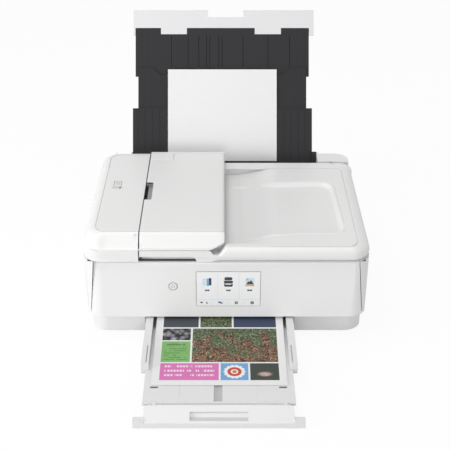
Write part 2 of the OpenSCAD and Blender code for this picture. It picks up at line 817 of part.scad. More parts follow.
module support_middle()
  color([0.24, 0.24, 0.25])
    on_support()
      translate([0, 0, -2 * section_t - slide_gap])
        difference() {
          union() {
            linear_extrude(section_t)
              polygon([[middle_x0, middle_top - 118], [middle_x1, middle_top - 118],
                [middle_x1, middle_top], [middle_x1 - 30.8, middle_top],
                [middle_x1 - 43.3, middle_top - 13], [middle_x0 + 41.5, middle_top - 13],
                [middle_x0 + 28.5, middle_top], [middle_x0, middle_top]]);
            for (x = [middle_x0 + 10.5, middle_x0 + 22.5, middle_x1 - 20.8, middle_x1 - 8.8])
              span(x, x + 1, lower_top - 14, middle_top - 3, 0, section_t + 0.15);
          }
          // Shallow finger dish at the top edge
          translate([-8.75, middle_top - 13, section_t + 5]) rotate([90, 0, 0])
            translate([0, 0, -1]) cylinder(h = 14, r = 8);
        }

// Front outline of the black upper section
module upper_outline(grow)
  difference() {
    translate([upper_x0 - grow, middle_top - 41])
      square([upper_x1 - upper_x0 + 2 * grow, upper_top - middle_top + 41 + grow]);
    for (x = [[upper_x0 + 49, upper_x0 + 99.5], [upper_x1 - 105, upper_x1 - 54]])
      translate([x[0] + grow, upper_top - 12 + grow]) square([x[1] - x[0] - 2 * grow, 13]);
  }

module support_upper()
  color([0.2, 0.2, 0.21])
    on_support()
      translate([0, 0, -stack_n]) {
        linear_extrude(section_t) upper_outline(0);
        for (x = [upper_x0 + 12, upper_x0 + 24, upper_x1 - 22, upper_x1 - 10])
          span(x, x + 1, middle_top - 14, upper_top - 3, 0, section_t + 0.15);
      }

module support_cap()
  color("white")
    on_support()
      translate([0, 0, -stack_n - 0.8])
        difference() {
          linear_extrude(section_t + 0.8)
            difference() {
              translate([upper_x0 - 4, upper_top - 14])
                square([upper_x1 - upper_x0 + 13.3, cap_top - upper_top + 14]);
              upper_outline(slide_gap);
              // Notch in the middle of the top edge
              translate([-36, cap_top - 13.2]) square([69, 14]);
            }
          // Arrow that shows the way to pull
          translate([-2, upper_top + 5, section_t + 0.4]) linear_extrude(2)
            polygon([[-9, 0], [9, 0], [0, 11]]);
        }

module rear_guide(x)
  color([0.2, 0.2, 0.21])
    on_support() {
      span(x, x + 4.8, -46, -12, slide_gap, 13);
      span(x + 0.8, x + 4, -22, -13, slide_gap, 16);
    }

module rear_guide_left() rear_guide(rear_sheet_x - sheet_w / 2 - 5.2);
module rear_guide_right() rear_guide(rear_sheet_x + sheet_w / 2 + 0.4);

module blank_sheet()
  color("white")
    on_support()
      span(rear_sheet_x - sheet_w / 2, rear_sheet_x + sheet_w / 2, rear_sheet_s,
        rear_sheet_s + sheet_l, clear, clear + sheet_t);

// Height of the printed sheet's underside along its way out of the printer
sheet_way = [[-55, 49.75], [-90, 45.6], [-130, 41], [-165, 37.6], [-210, 33.4], [-250, 30.4],
  [-300, 27.8], [eject_y - sheet_l + 2.1, crease_z + 0.6]];

module printed_sheet()
  color("white")
    along_x(front_sheet_x - sheet_w / 2, front_sheet_x + sheet_w / 2)
      polygon(concat(sheet_way,
        [for (i = [len(sheet_way) - 1:-1:0]) [sheet_way[i][0], sheet_way[i][1] + sheet_t]]));

/* ---- Scanner unit ---- */

module scanner_unit()
  color("whitesmoke")
    difference() {
      union() {
        difference() {
          // The front leans back so that it clears the case as the unit swings up
          along_x(-scan_x, scan_x)
            polygon([[scan_front, deck_z], [scan_front + scan_draft, scan_z0],
              [cover_rear - gap, scan_z0], [cover_rear - gap, deck_z]]);
          span(-scan_x + wall, scan_x - wall, scan_front + scan_draft + wall,
            cover_rear - gap - wall, scan_z0 + wall, deck_z - 4);
          // Root posts of the hinge stand in these slots
          both_sides()
            span(lug_x - 0.7, lug_x + lug_w + 0.7, hinge_y - knuckle_r - 1, far, 0, far);
        }
        both_sides() {
          span(ear_x, ear_x + ear_w, hinge_y - knuckle_r, hinge_y + knuckle_r, scan_z0 + 1, hinge_z);
          rod_x(ear_x, ear_x + ear_w, hinge_y, hinge_z, knuckle_r);
          // Bosses at the ends of the scan rod
          rod_x(scan_x - 6, scan_x - 1, scan_rod_y, scan_rod_z, scan_rod_r + 3);
        }
      }
      both_sides() {
        rod_x(ear_x - 1, ear_x + ear_w + 1, hinge_y, hinge_z, hinge_r + fit);
        rod_x(scan_x - 7, scan_x - 1.5, scan_rod_y, scan_rod_z, scan_rod_r + fit);
      }
      // Rebates and windows of the two panes
      span(glass_x0, glass_x1, glass_y0, glass_y1, deck_z - glass_t, far);
      span(glass_x0 + 3, glass_x1 - 3, glass_y0 + 3, glass_y1 - 3, deck_z - 5, far);
      span(strip_x0, strip_x1, glass_y0, glass_y1, deck_z - glass_t, far);
      span(strip_x0 + 3, strip_x1 - 3, glass_y0 + 3, glass_y1 - 3, deck_z - 5, far);
    }

module platen_glass()
  color("lightblue") {
    span(glass_x0 + 0.2, glass_x1 - 0.2, glass_y0 + 0.2, glass_y1 - 0.2, deck_z - glass_t, deck_z);
    span(strip_x0 + 0.2, strip_x1 - 0.2, glass_y0 + 0.2, glass_y1 - 0.2, deck_z - glass_t, deck_z);
  }

module scan_rod()
  color("silver") rod_x(-scan_x + 1.5, scan_x - 1.5, scan_rod_y, scan_rod_z, scan_rod_r);

module scan_bar()
  color("dimgray")
    difference() {
      union() {
        span(strip_c - 9, strip_c + 9, glass_y0 + 4, glass_y1 - 4, scan_rod_z + 6, deck_z - 4.5);
        span(strip_c - 9, strip_c + 9, scan_rod_y - 10, scan_rod_y + 10, scan_z0 + wall + 0.6,
          scan_rod_z + 7);
      }
      rod_x(strip_c - 10, strip_c + 10, scan_rod_y, scan_rod_z, scan_rod_r + fit);
      // Lens slot
      span(strip_c - 1.5, strip_c + 1.5, glass_y0 + 10, glass_y1 - 10, deck_z - 6, deck_z);
    }

/* ---- Document cover and feeder ---- */

module document_cover()
  color("whitesmoke")
    difference() {
      union() {
        difference() {
          union() {
            // Right half: upright foot, then sides that lean in to the rim
            hull() {
              slab(bed_x0, half_w, front_y, cover_rear, body_r, 18, cover_z, lip_z);
              slab(bed_x0, half_w - 19.4, front_y + 13, cover_rear, 14, 8, rim_z - 0.1, rim_z);
            }
            slab(seam_x + 4, tray_edge - 16.5, front_y, cover_rear, 0, 0, cover_z, lip_z);
          }
          // Foot of the slope: the bed dips to the left, towards the feeder's exit
          along_y(front_y - 1, bed_y1)
            polygon(concat([[bed_x0 - 1, far], [bed_x0 - 1, lip_z]],
              [for (i = [0:12]) [slope_x0 + slope_w * i / 12,
                lip_z + (rim_z - lip_z) * (1 - cos(15 * i)) / 2]],
              [[slope_x0 + slope_w, far]]));
          span(bed_x0 - 1, tray_edge, front_y - 1, far, lip_z, far);
          // Basin for the pages that come out
          hull() {
            slab(basin_x0, basin_x1, basin_y0, basin_y1, 26, 26, rim_z, far);
            slab(basin_x0 + 6, basin_x1 - 6, basin_y0 + 6, basin_y1 - 6, 20, 20, rim_z - 6, far);
          }
          // Rear edge, round about the hinge line
          along_x(bed_x0 - 1, half_w + 1)
            difference() {
              translate([hinge_y, hinge_z]) square(20);
              translate([hinge_y, hinge_z]) circle(cover_round);
            }
          // Grip recess and the lip below the document tray
          span(seam_x - 1, tray_edge - 44.5, front_y - 1, front_y + 11, cover_z - 1, lip_z + 1);
          span(seam_x - 1, tray_edge - 23, front_y - 1, front_y + 3.2, cover_z + 6.9, far);
          // Fine groove round the rim
          rim_groove();
        }
        // Base plate under the feeder
        slab(-half_w + 12, seam_x + 5, front_y + 7, cover_rear - 2, 20, 8, cover_z, cover_z + 3.5);
        // Deck that the pages are fed along, with its end walls
        span(seam_x + 4, deck_x1, front_y + 27, hinge_y + 2, feeder_deck - 4, feeder_deck);
        span(seam_x + 4, deck_x1, front_y + 25, front_y + 31, lip_z - 1, feeder_deck);
        span(seam_x + 4, deck_x1, hinge_y - 1, cover_rear, lip_z - 1, feeder_deck);
        // Rear band and front knuckle of the document tray's hinge
        slab(seam_x + 1, tray_edge, feeder_rear - 5, feeder_rear, 0, 0, rim_z - 6, feeder_z);
        span(seam_x + 4, tray_edge, cover_rear - 3, feeder_rear - 4, rim_z - 6, rim_z);
        span(deck_x1, tray_edge, front_y + 24.6, front_y + 32, lip_z - 1, doc_axis_z);
        rod_y(front_y + 24.6, front_y + 32, doc_axis_x, doc_axis_z, doc_barrel);
        // Bearing blocks of the feed roller
        for (y = [front_y + 31, hinge_y - 6]) {
          span(roller_x - 7, roller_x + 7, y, y + 5, cover_z + 3, roller_z);
          rod_y(y, y + 5, roller_x, roller_z, 7);
        }
        // Pins of the feeder cover's hinge
        for (y = [feeder_y0 - 3, feeder_y1 + 0.3])
          span(feeder_axis_x - 1.5, -half_w + 14, y, y + 2.7, cover_z, feeder_axis_z + 1.5);
        rod_y(feeder_y0 - 0.5, feeder_y0 + 6, feeder_axis_x, feeder_axis_z, stub_r);
        rod_y(feeder_y1 - 6, feeder_y1 + 0.5, feeder_axis_x, feeder_axis_z, stub_r);
        // Hinge ear on the left
        span(-cover_ear_x - 5.5, -cover_ear_x, hinge_y - 5.5, hinge_y + 4.5, cover_z, hinge_z);
        rod_x(-cover_ear_x - 5.5, -cover_ear_x, hinge_y, hinge_z, 5.5);
      }
      // Room for the hinge posts and the scanner unit's ears
      span(ear_x - 1, cover_ear_x - 0.3, hinge_y - cover_round, far, 0, rim_z - 2);
      span(-cover_ear_x + 0.3, -ear_x + 1, hinge_y - cover_round, far, 0, rim_z - 2);
      rod_x(cover_ear_x - 1, cover_ear_x + 5.5, hinge_y, hinge_z, hinge_r + fit);
      rod_x(-cover_ear_x - 6, -cover_ear_x + 1, hinge_y, hinge_z, hinge_r + fit);
      // Lower rear edge, cut so that it clears the scanner unit as it swings
      along_x(-far, far) polygon([[cover_rear - 2, cover_z - 1], [cover_rear + 1, cover_z - 1],
        [cover_rear + 1, cover_z + 3], [cover_rear, cover_z + 2], [cover_rear - 2, cover_z]]);
      // Recess of the white pad
      span(glass_x0 - 4, glass_x1 + 4, glass_y0 - 4, glass_y1 + 4, cover_z - 1, cover_z + 1.5);
      // Bores of the document tray's hinge and of the feed roller
      rod_y(front_y + 26, front_y + 33, doc_axis_x, doc_axis_z, stub_r + fit);
      rod_y(feeder_rear - 6, feeder_rear - 1, doc_axis_x, doc_axis_z, stub_r + fit);
      rod_y(front_y + 30, front_y + 38, roller_x, roller_z, shaft_r + fit);
      rod_y(hinge_y - 7, hinge_y, roller_x, roller_z, shaft_r + fit);
    }

module rim_groove()
  difference() {
    slab(slope_x0 + slope_w - 2, half_w - 18.9, front_y + 11, bed_y1, 24, 6, rim_z - 0.7, far);
    slab(slope_x0 + slope_w - 3, half_w - 19.9, front_y + 12, bed_y1 - 1, 23, 5, rim_z - 1, far);
  }

module cover_pad()
  color("white")
    span(glass_x0 - 3.7, glass_x1 + 3.7, glass_y0 - 3.7, glass_y1 + 3.7, cover_z - 0.5, cover_z + 1.5);

// Outer form of the feeder, or its inside where inset is the wall
module feeder_form(inset)
  hull() {
    slab(-half_w + inset, 60, front_y + inset, feeder_rear - inset, body_r - inset, 20 - inset,
      cover_z + 0.5 - (inset > 0 ? 5 : 0), bevel_z - inset / 2);
    slab(-half_w + bevel_side + inset, 60, front_y + bevel_front + inset, feeder_rear - inset, top_r,
      top_r, feeder_z - inset - 0.1, feeder_z - inset);
  }

module feeder_cover()
  color("whitesmoke")
    difference() {
      union() {
        difference() {
          feeder_form(0);
          feeder_form(wall);
          span(seam_x - seam, far, -far, far, 0, far);
          // Lower rear edge, and room for the hinge posts at the rear
          span(-far, far, feeder_rear - 4, far, 0, cover_z + 3.5);
          span(-cover_ear_x - 6.5, -ear_x + 1, hinge_y, far, 0, rim_z);
          // Lower left edge, round about this cover's own hinge line
          along_y(-far, far)
            difference() {
              translate([feeder_axis_x - 20, feeder_axis_z - 20]) square(20);
              translate([feeder_axis_x, feeder_axis_z]) circle(feeder_barrel + 0.9);
            }
          span(-half_w - 1, feeder_axis_x, feeder_y0, feeder_y1, 0, feeder_axis_z + 1);
        }
        rod_y(feeder_y0, feeder_y1, feeder_axis_x, feeder_axis_z, feeder_barrel);
        // Ribs inside, and the finger tab that shows in the tray's notch
        for (y = [front_y + 73, front_y + 123, hinge_y - 79, hinge_y - 29])
          span(-half_w + 22, seam_x - seam - 4, y, y + 1.5, feeder_z - 9, feeder_z - 2);
        span(seam_x - 8, seam_x - seam, front_y + 13, hinge_y + 5, feeder_z - 6.5, feeder_z - 4);
        span(seam_x - 8, seam_x + 8, notch_y0 + 10, notch_y1 - 10, feeder_z - 6.5, feeder_z - 4.5);
        span(seam_x - 8, seam_x - 6, front_y + 13, hinge_y + 5, feeder_z - 6, feeder_z - 2);
      }
      rod_y(feeder_y0 - 1, feeder_y0 + 7, feeder_axis_x, feeder_axis_z, stub_r + fit);
      rod_y(feeder_y1 - 7, feeder_y1 + 1, feeder_axis_x, feeder_axis_z, stub_r + fit);
      for (y = [feeder_y0 - 3.5, feeder_y1])
        span(-half_w - 1, -half_w + 15, y, y + 3.5, 0, feeder_axis_z + 5);
    }

module document_tray()
  color("whitesmoke") {
    difference() {
      union() {
        difference() {
          feeder_form(0);
          feeder_form(wall);
          span(-far, seam_x + seam, -far, far, 0, far);
          span(tray_edge, far, -far, far, 0, far);
          span(-far, far, feeder_rear - 5.5, far, 0, far);
          span(-far, far, -far, far, 0, cover_z + 7.5);
          // Round right edge, and room for the front knuckle
          span(doc_axis_x, far, front_y + 23.5, far, 0, far);
          span(doc_axis_x - 5.3, far, front_y + 24, front_y + 32.5, 0, far);
        }
        rod_y(front_y + 32.5, feeder_rear - 5.5, doc_axis_x, doc_axis_z, doc_barrel);
        for (y = [front_y + 63, front_y + 103, front_y + 143, hinge_y - 99, hinge_y - 59, hinge_y - 19])
          span(seam_x + 16, doc_axis_x - 2, y, y + 1.5, feeder_z - 6, feeder_z - 2);
      }
      // Finger notch, and the corner cut away over the exit
      slab(seam_x - 1, seam_x + 13, notch_y0, notch_y1, 2, 2, lip_z, far);
      linear_extrude(far)
        polygon([[tray_edge + 1, front_y + 17.5], [tray_edge - 1.5, front_y + 16.5],
          [tray_edge - 25.5, front_y + 2], [tray_edge - 30.5, front_y - 1], [far, front_y - 1],
          [far, front_y + 17.5]]);
      // Seat line of the hinge cap at the rear
      slab(seam_x, seam_x + 44, hinge_y - 25, hinge_y + 7, 1, 0, feeder_z - 0.6, far);
    }
    slab(seam_x + seam, seam_x + 43.3, hinge_y - 24.3, feeder_rear - 5.5, 1, 0, feeder_z - 1, feeder_z);
    rod_y(front_y + 27.5, front_y + 33, doc_axis_x, doc_axis_z, stub_r);
    rod_y(feeder_rear - 6, feeder_rear - 2, doc_axis_x, doc_axis_z, stub_r);
  }

module feeder_roller()
  color("dimgray") {
    rod_y(front_y + 31, hinge_y - 1, roller_x, roller_z, shaft_r);
    for (y = [-34, 10]) rod_y(y, y + 20, roller_x, roller_z, 11);
    for (y = [-100, 86]) rod_y(y, y + 12, roller_x, roller_z, 9);
  }

module hinge_pins()
  color("silver") {
    both_sides() rod_x(ear_x, cover_ear_x + 5, hinge_y, hinge_z, hinge_r);
    on_panel()
      both_sides()
        rod_x(panel_top_w - 10, panel_top_w + 4.3, panel_round, panel_h - panel_round, hinge_r);
  }

/* ---- Operation panel ---- */

module operation_panel()
  color("whitesmoke")
    on_panel()
      difference() {
        union() {
          intersection() {
            // A plate whose ends follow the body's round corners
            translate([0, 0, -1])
              linear_extrude(panel_h - panel_round + 1)
                difference() {
                  plan(-half_w, half_w, 0, body_d, body_r, 0);
                  plan(-half_w + panel_t, half_w - panel_t, panel_t, body_d + 1,
                    body_r - panel_t, 0);
                }
            along_y(0, panel_depth) panel_outline();
          }
          intersection() {
            rod_x(-far, far, panel_round, panel_h - panel_round, panel_round);
            translate([0, 0, -1]) linear_extrude(panel_h + 2) plan(-half_w, half_w, 0, body_d, body_r, 0);
            along_y(-1, panel_depth) panel_outline();
          }
        }
        // Seat of the touch screen
        span(screen_c - screen_w / 2 - 0.3, screen_c + screen_w / 2 + 0.3, -1, screen_t,
          screen_z - 0.3, screen_z + screen_h + 0.3);
        // Hole of the power button
        rod_y(-1, far, button_x, button_z, button_d / 2 + 0.4);
        both_sides() rod_x(panel_top_w - 10.5, far, panel_round, panel_h - panel_round, hinge_r + fit);
      }

module panel_outline()
  polygon([[-panel_foot_w, 0], [panel_foot_w, 0], [panel_top_w, panel_h], [-panel_top_w, panel_h]]);

module touch_screen()
  color("aliceblue")
    on_panel()
      span(screen_c - screen_w / 2, screen_c + screen_w / 2, 0, screen_t, screen_z, screen_z + screen_h);

module power_button()
  color("white")
    on_panel() {
      rod_y(-0.4, panel_t + 0.2, button_x, button_z, button_d / 2);
      rod_y(panel_t + 0.2, panel_t + 1.7, button_x, button_z, button_d / 2 + 1.5);
    }

/* ---- Cassette and output trays ---- */

module paper_cassette()
  color("gainsboro")
    difference() {
      union() {
        difference() {
          span(cassette_x0, cassette_x1, cassette_y0, cassette_y1, cassette_z0, cassette_z1);
          span(cassette_x0 + 2.5, cassette_x1 - 2.5, cassette_y0 + 3, cassette_y1 - 2.5,
            cassette_z0 + 2, far);
        }
        // Ribs of the floor and the two width guides
        for (x = [-90:30:60])
          span(x, x + 1.2, cassette_y0 + 3, cassette_y1 - 2, cassette_z0 + 1.5, cassette_z0 + 3);
        for (x = [front_sheet_x - sheet_w / 2 - 3.5, front_sheet_x + sheet_w / 2 + 1])
          span(x, x + 2.5, -60, 30, cassette_z0 + 1.5, cassette_z1 - 0.5);
      }
      // Finger slot in the front wall
      span(tray_c - 30, tray_c + 30, cassette_y0 - 1, cassette_y0 + 1.5, cassette_z0 + 3, cassette_z0 + 10);
    }

module output_tray()
  color("gainsboro")
    difference() {
      union() {
        span(tray_x0, tray_x1, tray_front, tray_rear, tray_z, tray_z + tray_floor);
        for (side = [0, 1])
          translate([tray_c, 0, 0]) mirror([side, 0, 0])
            span(tray_w / 2 - tray_wall, tray_w / 2, tray_front, tray_rear, tray_z, tray_top);
      }
      // Behind the panel the walls are lower and clear the eject roller
      span(tray_x0 - 1, tray_x1 + 1, tray_step_y, tray_rear + 1, tray_low_top, far);
      // Channels of the extension, and the catch slots in the walls' tops
      span(tray_x0 + tray_wall - groove_d, tray_x1 - tray_wall + groove_d, tray_front - 1, tray_rear + 1,
        extension_z - clear / 2, crease_z + clear);
      for (side = [0, 1])
        translate([tray_c, 0, 0]) mirror([side, 0, 0])
          span(tray_w / 2 - 9, tray_w / 2 - 7, tray_front + 4, tray_front + 50, tray_top - 4, far);
    }

module output_extension()
  color("gainsboro")
    difference() {
      union() {
        difference() {
          span(tray_x0 + tray_wall - groove_d + clear, tray_x1 - tray_wall + groove_d - clear,
            extension_front + 3.6, extension_rear, extension_z, crease_z);
          // Underside hollow
          span(tray_x0 + tray_wall + 3, tray_x1 - tray_wall - 3, extension_front + 14, extension_rear + 6,
            extension_z - 1, extension_z + 1.6);
          // Middle channel, the paper's corner slots and fine steps
          span(tray_c - 7.9, tray_c + 5.1, extension_front + 8, extension_front + 56, crease_z - 2, far);
          for (x = [tray_x0 + 17, tray_x1 - 31])
            span(x, x + 12, extension_front + 41, extension_front + 43.5, crease_z - 1.6, far);
          for (x = [tray_x0 + 62, tray_x1 - 65])
            span(x, x + 0.8, extension_front + 18, extension_front + 96, crease_z - 0.5, far);
          span(tray_x0 + 12, tray_x1 - 12, extension_front + 6.4, extension_front + 7.2,
            crease_z - 0.5, far);
        }
        // Outer knuckles of the flap's hinge
        for (x = [knuckle_x0, knuckle_x1]) {
          rod_x(x, x + 6, flap_axis_y, flap_axis_z, flap_r);
          span(x, x + 6, flap_axis_y, flap_axis_y + 6, flap_axis_z - flap_r, flap_axis_z);
          span(x, x + 6, flap_axis_y, flap_axis_y + 6, flap_axis_z - 1, crease_z);
        }
      }
      rod_x(knuckle_x0 - 1, knuckle_x1 + 8, flap_axis_y, flap_axis_z, 1 + fit);
    }

// Side view of the flap: it hangs forward from its hinge to the foot bar
module flap_side()
  union() {
    translate([flap_axis_y, flap_axis_z]) circle(flap_r);
    translate([flap_axis_y, flap_axis_z]) rotate(-135)
      translate([0, -flap_r]) square([23, 2.4]);
  }

module output_support()
  color("gainsboro")
    difference() {
      union() {
        difference() {
          along_x(tray_x0 + 15.5, tray_x1 - 15.5) flap_side();
          for (x = [knuckle_x0, knuckle_x1])
            span(x - 0.4, x + 6.4, flap_axis_y - 5, flap_axis_y + 5, flap_axis_z - 4.5, far);
        }
        span(tray_c - foot_bar_w / 2, tray_c + foot_bar_w / 2, flap_axis_y - 25, flap_axis_y - 15,
          2.4, 15.5);
        span(tray_x0 + 15.5, tray_x1 - 15.5, flap_axis_y - 22, flap_axis_y - 10, 4, 13);
        // Cheeks at the flap's sides
        for (x = [tray_x0 + 15.5, tray_x1 - 19.5])
          translate([0, flap_axis_y, 0])
            along_x(x, x + 4) polygon([[-3, 20], [0, 16], [-7, 5], [-15, 5], [-15, 12]]);
        rod_x(knuckle_x0 - 1, knuckle_x1 + 7, flap_axis_y, flap_axis_z, 1);
      }
      // Finger pocket
      span(tray_c - 38.5, tray_c + 38.5, flap_axis_y - 28, flap_axis_y - 17, 7.5, 18);
    }

base_pan();
rubber_feet();
main_case();
rear_case();
chassis_frame();
platen();
guide_rod();
feed_roller();
feed_gear();
pinch_rollers();
eject_roller();
star_wheels();
paper_belt();
feed_motor();
motor_pinion();
turn_roller();
pickup_arm();
pickup_roller();
print_carriage();
print_head();
ink_tank_1();
ink_tank_2();
ink_tank_3();
ink_tank_4();
ink_tank_5();
carriage_belt();
drive_pulley();
idler_pulley();
carriage_motor();
maintenance_station();
main_board();
power_supply();
power_inlet();
data_ports();
rear_cover();
rear_feed_tray();
support_middle();
support_upper();
support_cap();
rear_guide_left();
rear_guide_right();
blank_sheet();
printed_sheet();
scanner_unit();
platen_glass();
scan_bar();
scan_rod();
document_cover();
cover_pad();
feeder_cover();
document_tray();
feeder_roller();
hinge_pins();
operation_panel();
touch_screen();
power_button();
paper_cassette();
output_tray();
output_extension();
output_support();
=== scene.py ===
# %% [markdown]
# # An inkjet printer, dressed
#
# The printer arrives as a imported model: every moulding, roller and tray is already there at its real
# size, and it moves on joints. This notebook gives it its looks. It paints every part with a finish
# worked out from noise and masks, softens the edges of the mouldings, and adds what is too thin or too
# fine to be a part of its own: the picture on the touch screen, the printed page, marks and symbols.

# %% Load the frame
import json
import math

import bmesh
import bpy
import numpy as np
from mathutils import Euler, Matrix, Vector

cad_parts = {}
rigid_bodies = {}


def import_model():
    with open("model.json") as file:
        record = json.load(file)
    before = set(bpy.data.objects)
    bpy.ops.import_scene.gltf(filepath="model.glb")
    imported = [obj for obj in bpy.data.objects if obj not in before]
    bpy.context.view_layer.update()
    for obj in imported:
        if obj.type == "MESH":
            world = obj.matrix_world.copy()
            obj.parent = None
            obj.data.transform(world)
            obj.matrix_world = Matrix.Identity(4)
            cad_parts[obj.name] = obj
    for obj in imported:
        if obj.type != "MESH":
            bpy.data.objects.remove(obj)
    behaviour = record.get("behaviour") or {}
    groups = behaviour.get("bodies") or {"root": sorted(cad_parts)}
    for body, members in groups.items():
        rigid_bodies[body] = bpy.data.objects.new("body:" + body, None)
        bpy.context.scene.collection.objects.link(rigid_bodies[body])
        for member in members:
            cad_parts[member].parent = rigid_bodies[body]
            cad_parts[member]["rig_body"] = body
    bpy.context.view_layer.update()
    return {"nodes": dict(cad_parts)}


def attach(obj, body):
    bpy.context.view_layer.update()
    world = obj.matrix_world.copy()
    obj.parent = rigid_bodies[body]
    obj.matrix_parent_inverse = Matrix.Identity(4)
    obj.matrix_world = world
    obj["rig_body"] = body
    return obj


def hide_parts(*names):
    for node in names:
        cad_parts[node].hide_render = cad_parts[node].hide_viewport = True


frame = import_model()
nodes = frame["nodes"]
MM = 0.001


def new_object(name, data):
    """An object for a mesh, a lamp or a camera, in the scene."""
    obj = bpy.data.objects.new(name, data)
    bpy.context.scene.collection.objects.link(obj)
    return obj


def new_mesh(name, points, faces):
    """A mesh from points in mm."""
    mesh = bpy.data.meshes.new(name)
    mesh.from_pydata((np.asarray(points, float) * MM).tolist(), [], faces)
    return mesh


# %% [markdown]
# ## Camera
#
# A product picture of a printer is taken from a little above, with a long lens, so that the sides
# hardly converge. The lens is given by how many picture widths away one picture width of object would
# be seen, which is the focal length over the sensor's width.

# %% The camera
CAMERA_AT = Vector((-0.0026, -1.590, 0.982))
CAMERA_DIP = math.radians(28.6)
SENSOR = 36.0
FOCAL_IN_FRAMES = 1011.0 / 450.0

camera_data = bpy.data.cameras.new("camera")
camera_data.sensor_width = SENSOR
camera_data.lens = SENSOR * FOCAL_IN_FRAMES
camera_data.clip_start, camera_data.clip_end = 0.05, 30.0
camera = new_object("camera", camera_data)
camera.location = CAMERA_AT
camera.rotation_euler = Euler((math.pi / 2 - CAMERA_DIP, 0.0, 0.0))
bpy.context.scene.camera = camera
print("lens", round(camera_data.lens, 1), "mm")

# %% [markdown]
# ## Helpers for shader nodes
#
# A material is a small graph. Writing it out socket by socket is long, so a few helpers keep it short:
# they add a node with its settings and its inputs, where an input may be a number, a colour or another
# node's output, and make node groups with named inputs and outputs.

# %% Node helpers
def add_node(tree, kind, inputs=None, **settings):
    """Adds a shader node; inputs maps a socket's name or number to a value or to an output."""
    node = tree.nodes.new("ShaderNode" + kind)
    for key, value in settings.items():
        setattr(node, key, value)
    for key, value in (inputs or {}).items():
        socket = node.inputs[key]
        if isinstance(value, bpy.types.NodeSocket):
            tree.links.new(value, socket)
        else:
            socket.default_value = value
    return node


def maths(tree, operation, a, b=0.0, c=0.0, clamp=False):
    """One Math node; returns its output."""
    node = add_node(tree, "Math", {0: a, 1: b, 2: c}, operation=operation)
    node.use_clamp = clamp
    return node.outputs[0]


def product(tree, a, b):
    """a times b."""
    return maths(tree, "MULTIPLY", a, b)


def mix_colours(tree, factor, a, b, blend="MIX"):
    """Mixes two colours; returns the output."""
    node = add_node(tree, "Mix", data_type="RGBA", blend_type=blend)
    for socket, value in zip((node.inputs[0], node.inputs[6], node.inputs[7]), (factor, a, b)):
        if isinstance(value, bpy.types.NodeSocket):
            tree.links.new(value, socket)
        else:
            socket.default_value = value
    return node.outputs[2]


def shaded(tree, tint, level):
    """A tint times a brightness."""
    grey = add_node(tree, "CombineColor", {0: level, 1: level, 2: level}).outputs[0]
    return mix_colours(tree, 1.0, tint, grey, "MULTIPLY")


def object_place(tree):
    """Where a point lies in its object."""
    return add_node(tree, "TexCoord").outputs["Object"]


def noise(tree, where, scale, detail, **more):
    """Cloudy noise from 0 to 1; more sets other sockets."""
    inputs = {"Vector": where, "Scale": scale, "Detail": detail, **more}
    return add_node(tree, "TexNoise", inputs).outputs["Fac"]


def add_socket(group, label, side, colour):
    """Adds an input or an output to a node group, for a colour or for a number."""
    kind = "NodeSocketColor" if colour else "NodeSocketFloat"
    return group.interface.new_socket(name=label, in_out=side, socket_type=kind)


def new_group(name, **inputs):
    """A node group with inputs that have these defaults; returns the group and its inputs."""
    group = bpy.data.node_groups.new(name, "ShaderNodeTree")
    for label, default in inputs.items():
        add_socket(group, label, "INPUT", isinstance(default, tuple)).default_value = default
    return group, group.nodes.new("NodeGroupInput").outputs


def give(group, **outputs):
    """Adds outputs to a node group and links its results to them; returns the group."""
    for label, value in outputs.items():
        add_socket(group, label, "OUTPUT", value.type == "RGBA")
    out = group.nodes.new("NodeGroupOutput")
    for label, value in outputs.items():
        group.links.new(value, out.inputs[label])
    return group


def rgb(red, green, blue):
    """A colour with full opacity."""
    return (red, green, blue, 1.0)


def grey(level):
    """A neutral colour."""
    return rgb(level, level, level)


def principled(name, **sockets):
    """A new material with a Principled shader; returns the material, its tree and the shader."""
    material = bpy.data.materials.new(name)
    material.use_nodes = True
    shader = material.node_tree.nodes["Principled BSDF"]
    for socket, value in sockets.items():
        shader.inputs[socket.replace("_", " ")].default_value = value
    return material, material.node_tree, shader


def patterned(name, group, inputs, depth, **sockets):
    """A material whose colour, gloss and relief come from a group; depth is the relief's, in mm."""
    material, tree, shader = principled(name, **sockets)
    pattern = add_node(tree, "Group", inputs, node_tree=group)
    bump = add_node(tree, "Bump",
                    {"Height": pattern.outputs["Height"], "Distance": depth * MM, "Strength": 1.0})
    tree.links.new(bump.outputs["Normal"], shader.inputs["Normal"])
    for source, target in (("Colour", "Base Color"), ("Roughness", "Roughness")):
        if source in pattern.outputs:
            tree.links.new(pattern.outputs[source], shader.inputs[target])
    return material


# %% [markdown]
# ## Moulded plastic
#
# Nearly all that shows is injection-moulded plastic. The tool's steel is spark-eroded, which leaves a
# very fine pebbled grain, and light breaks up on it in a soft sheen. Up close there is a second, slower
# change: the melt cools unevenly, so gloss and tone drift by a percent or two over a hand's breadth.
# Both come from noise in object coordinates, so the pattern sticks to the part as it moves.

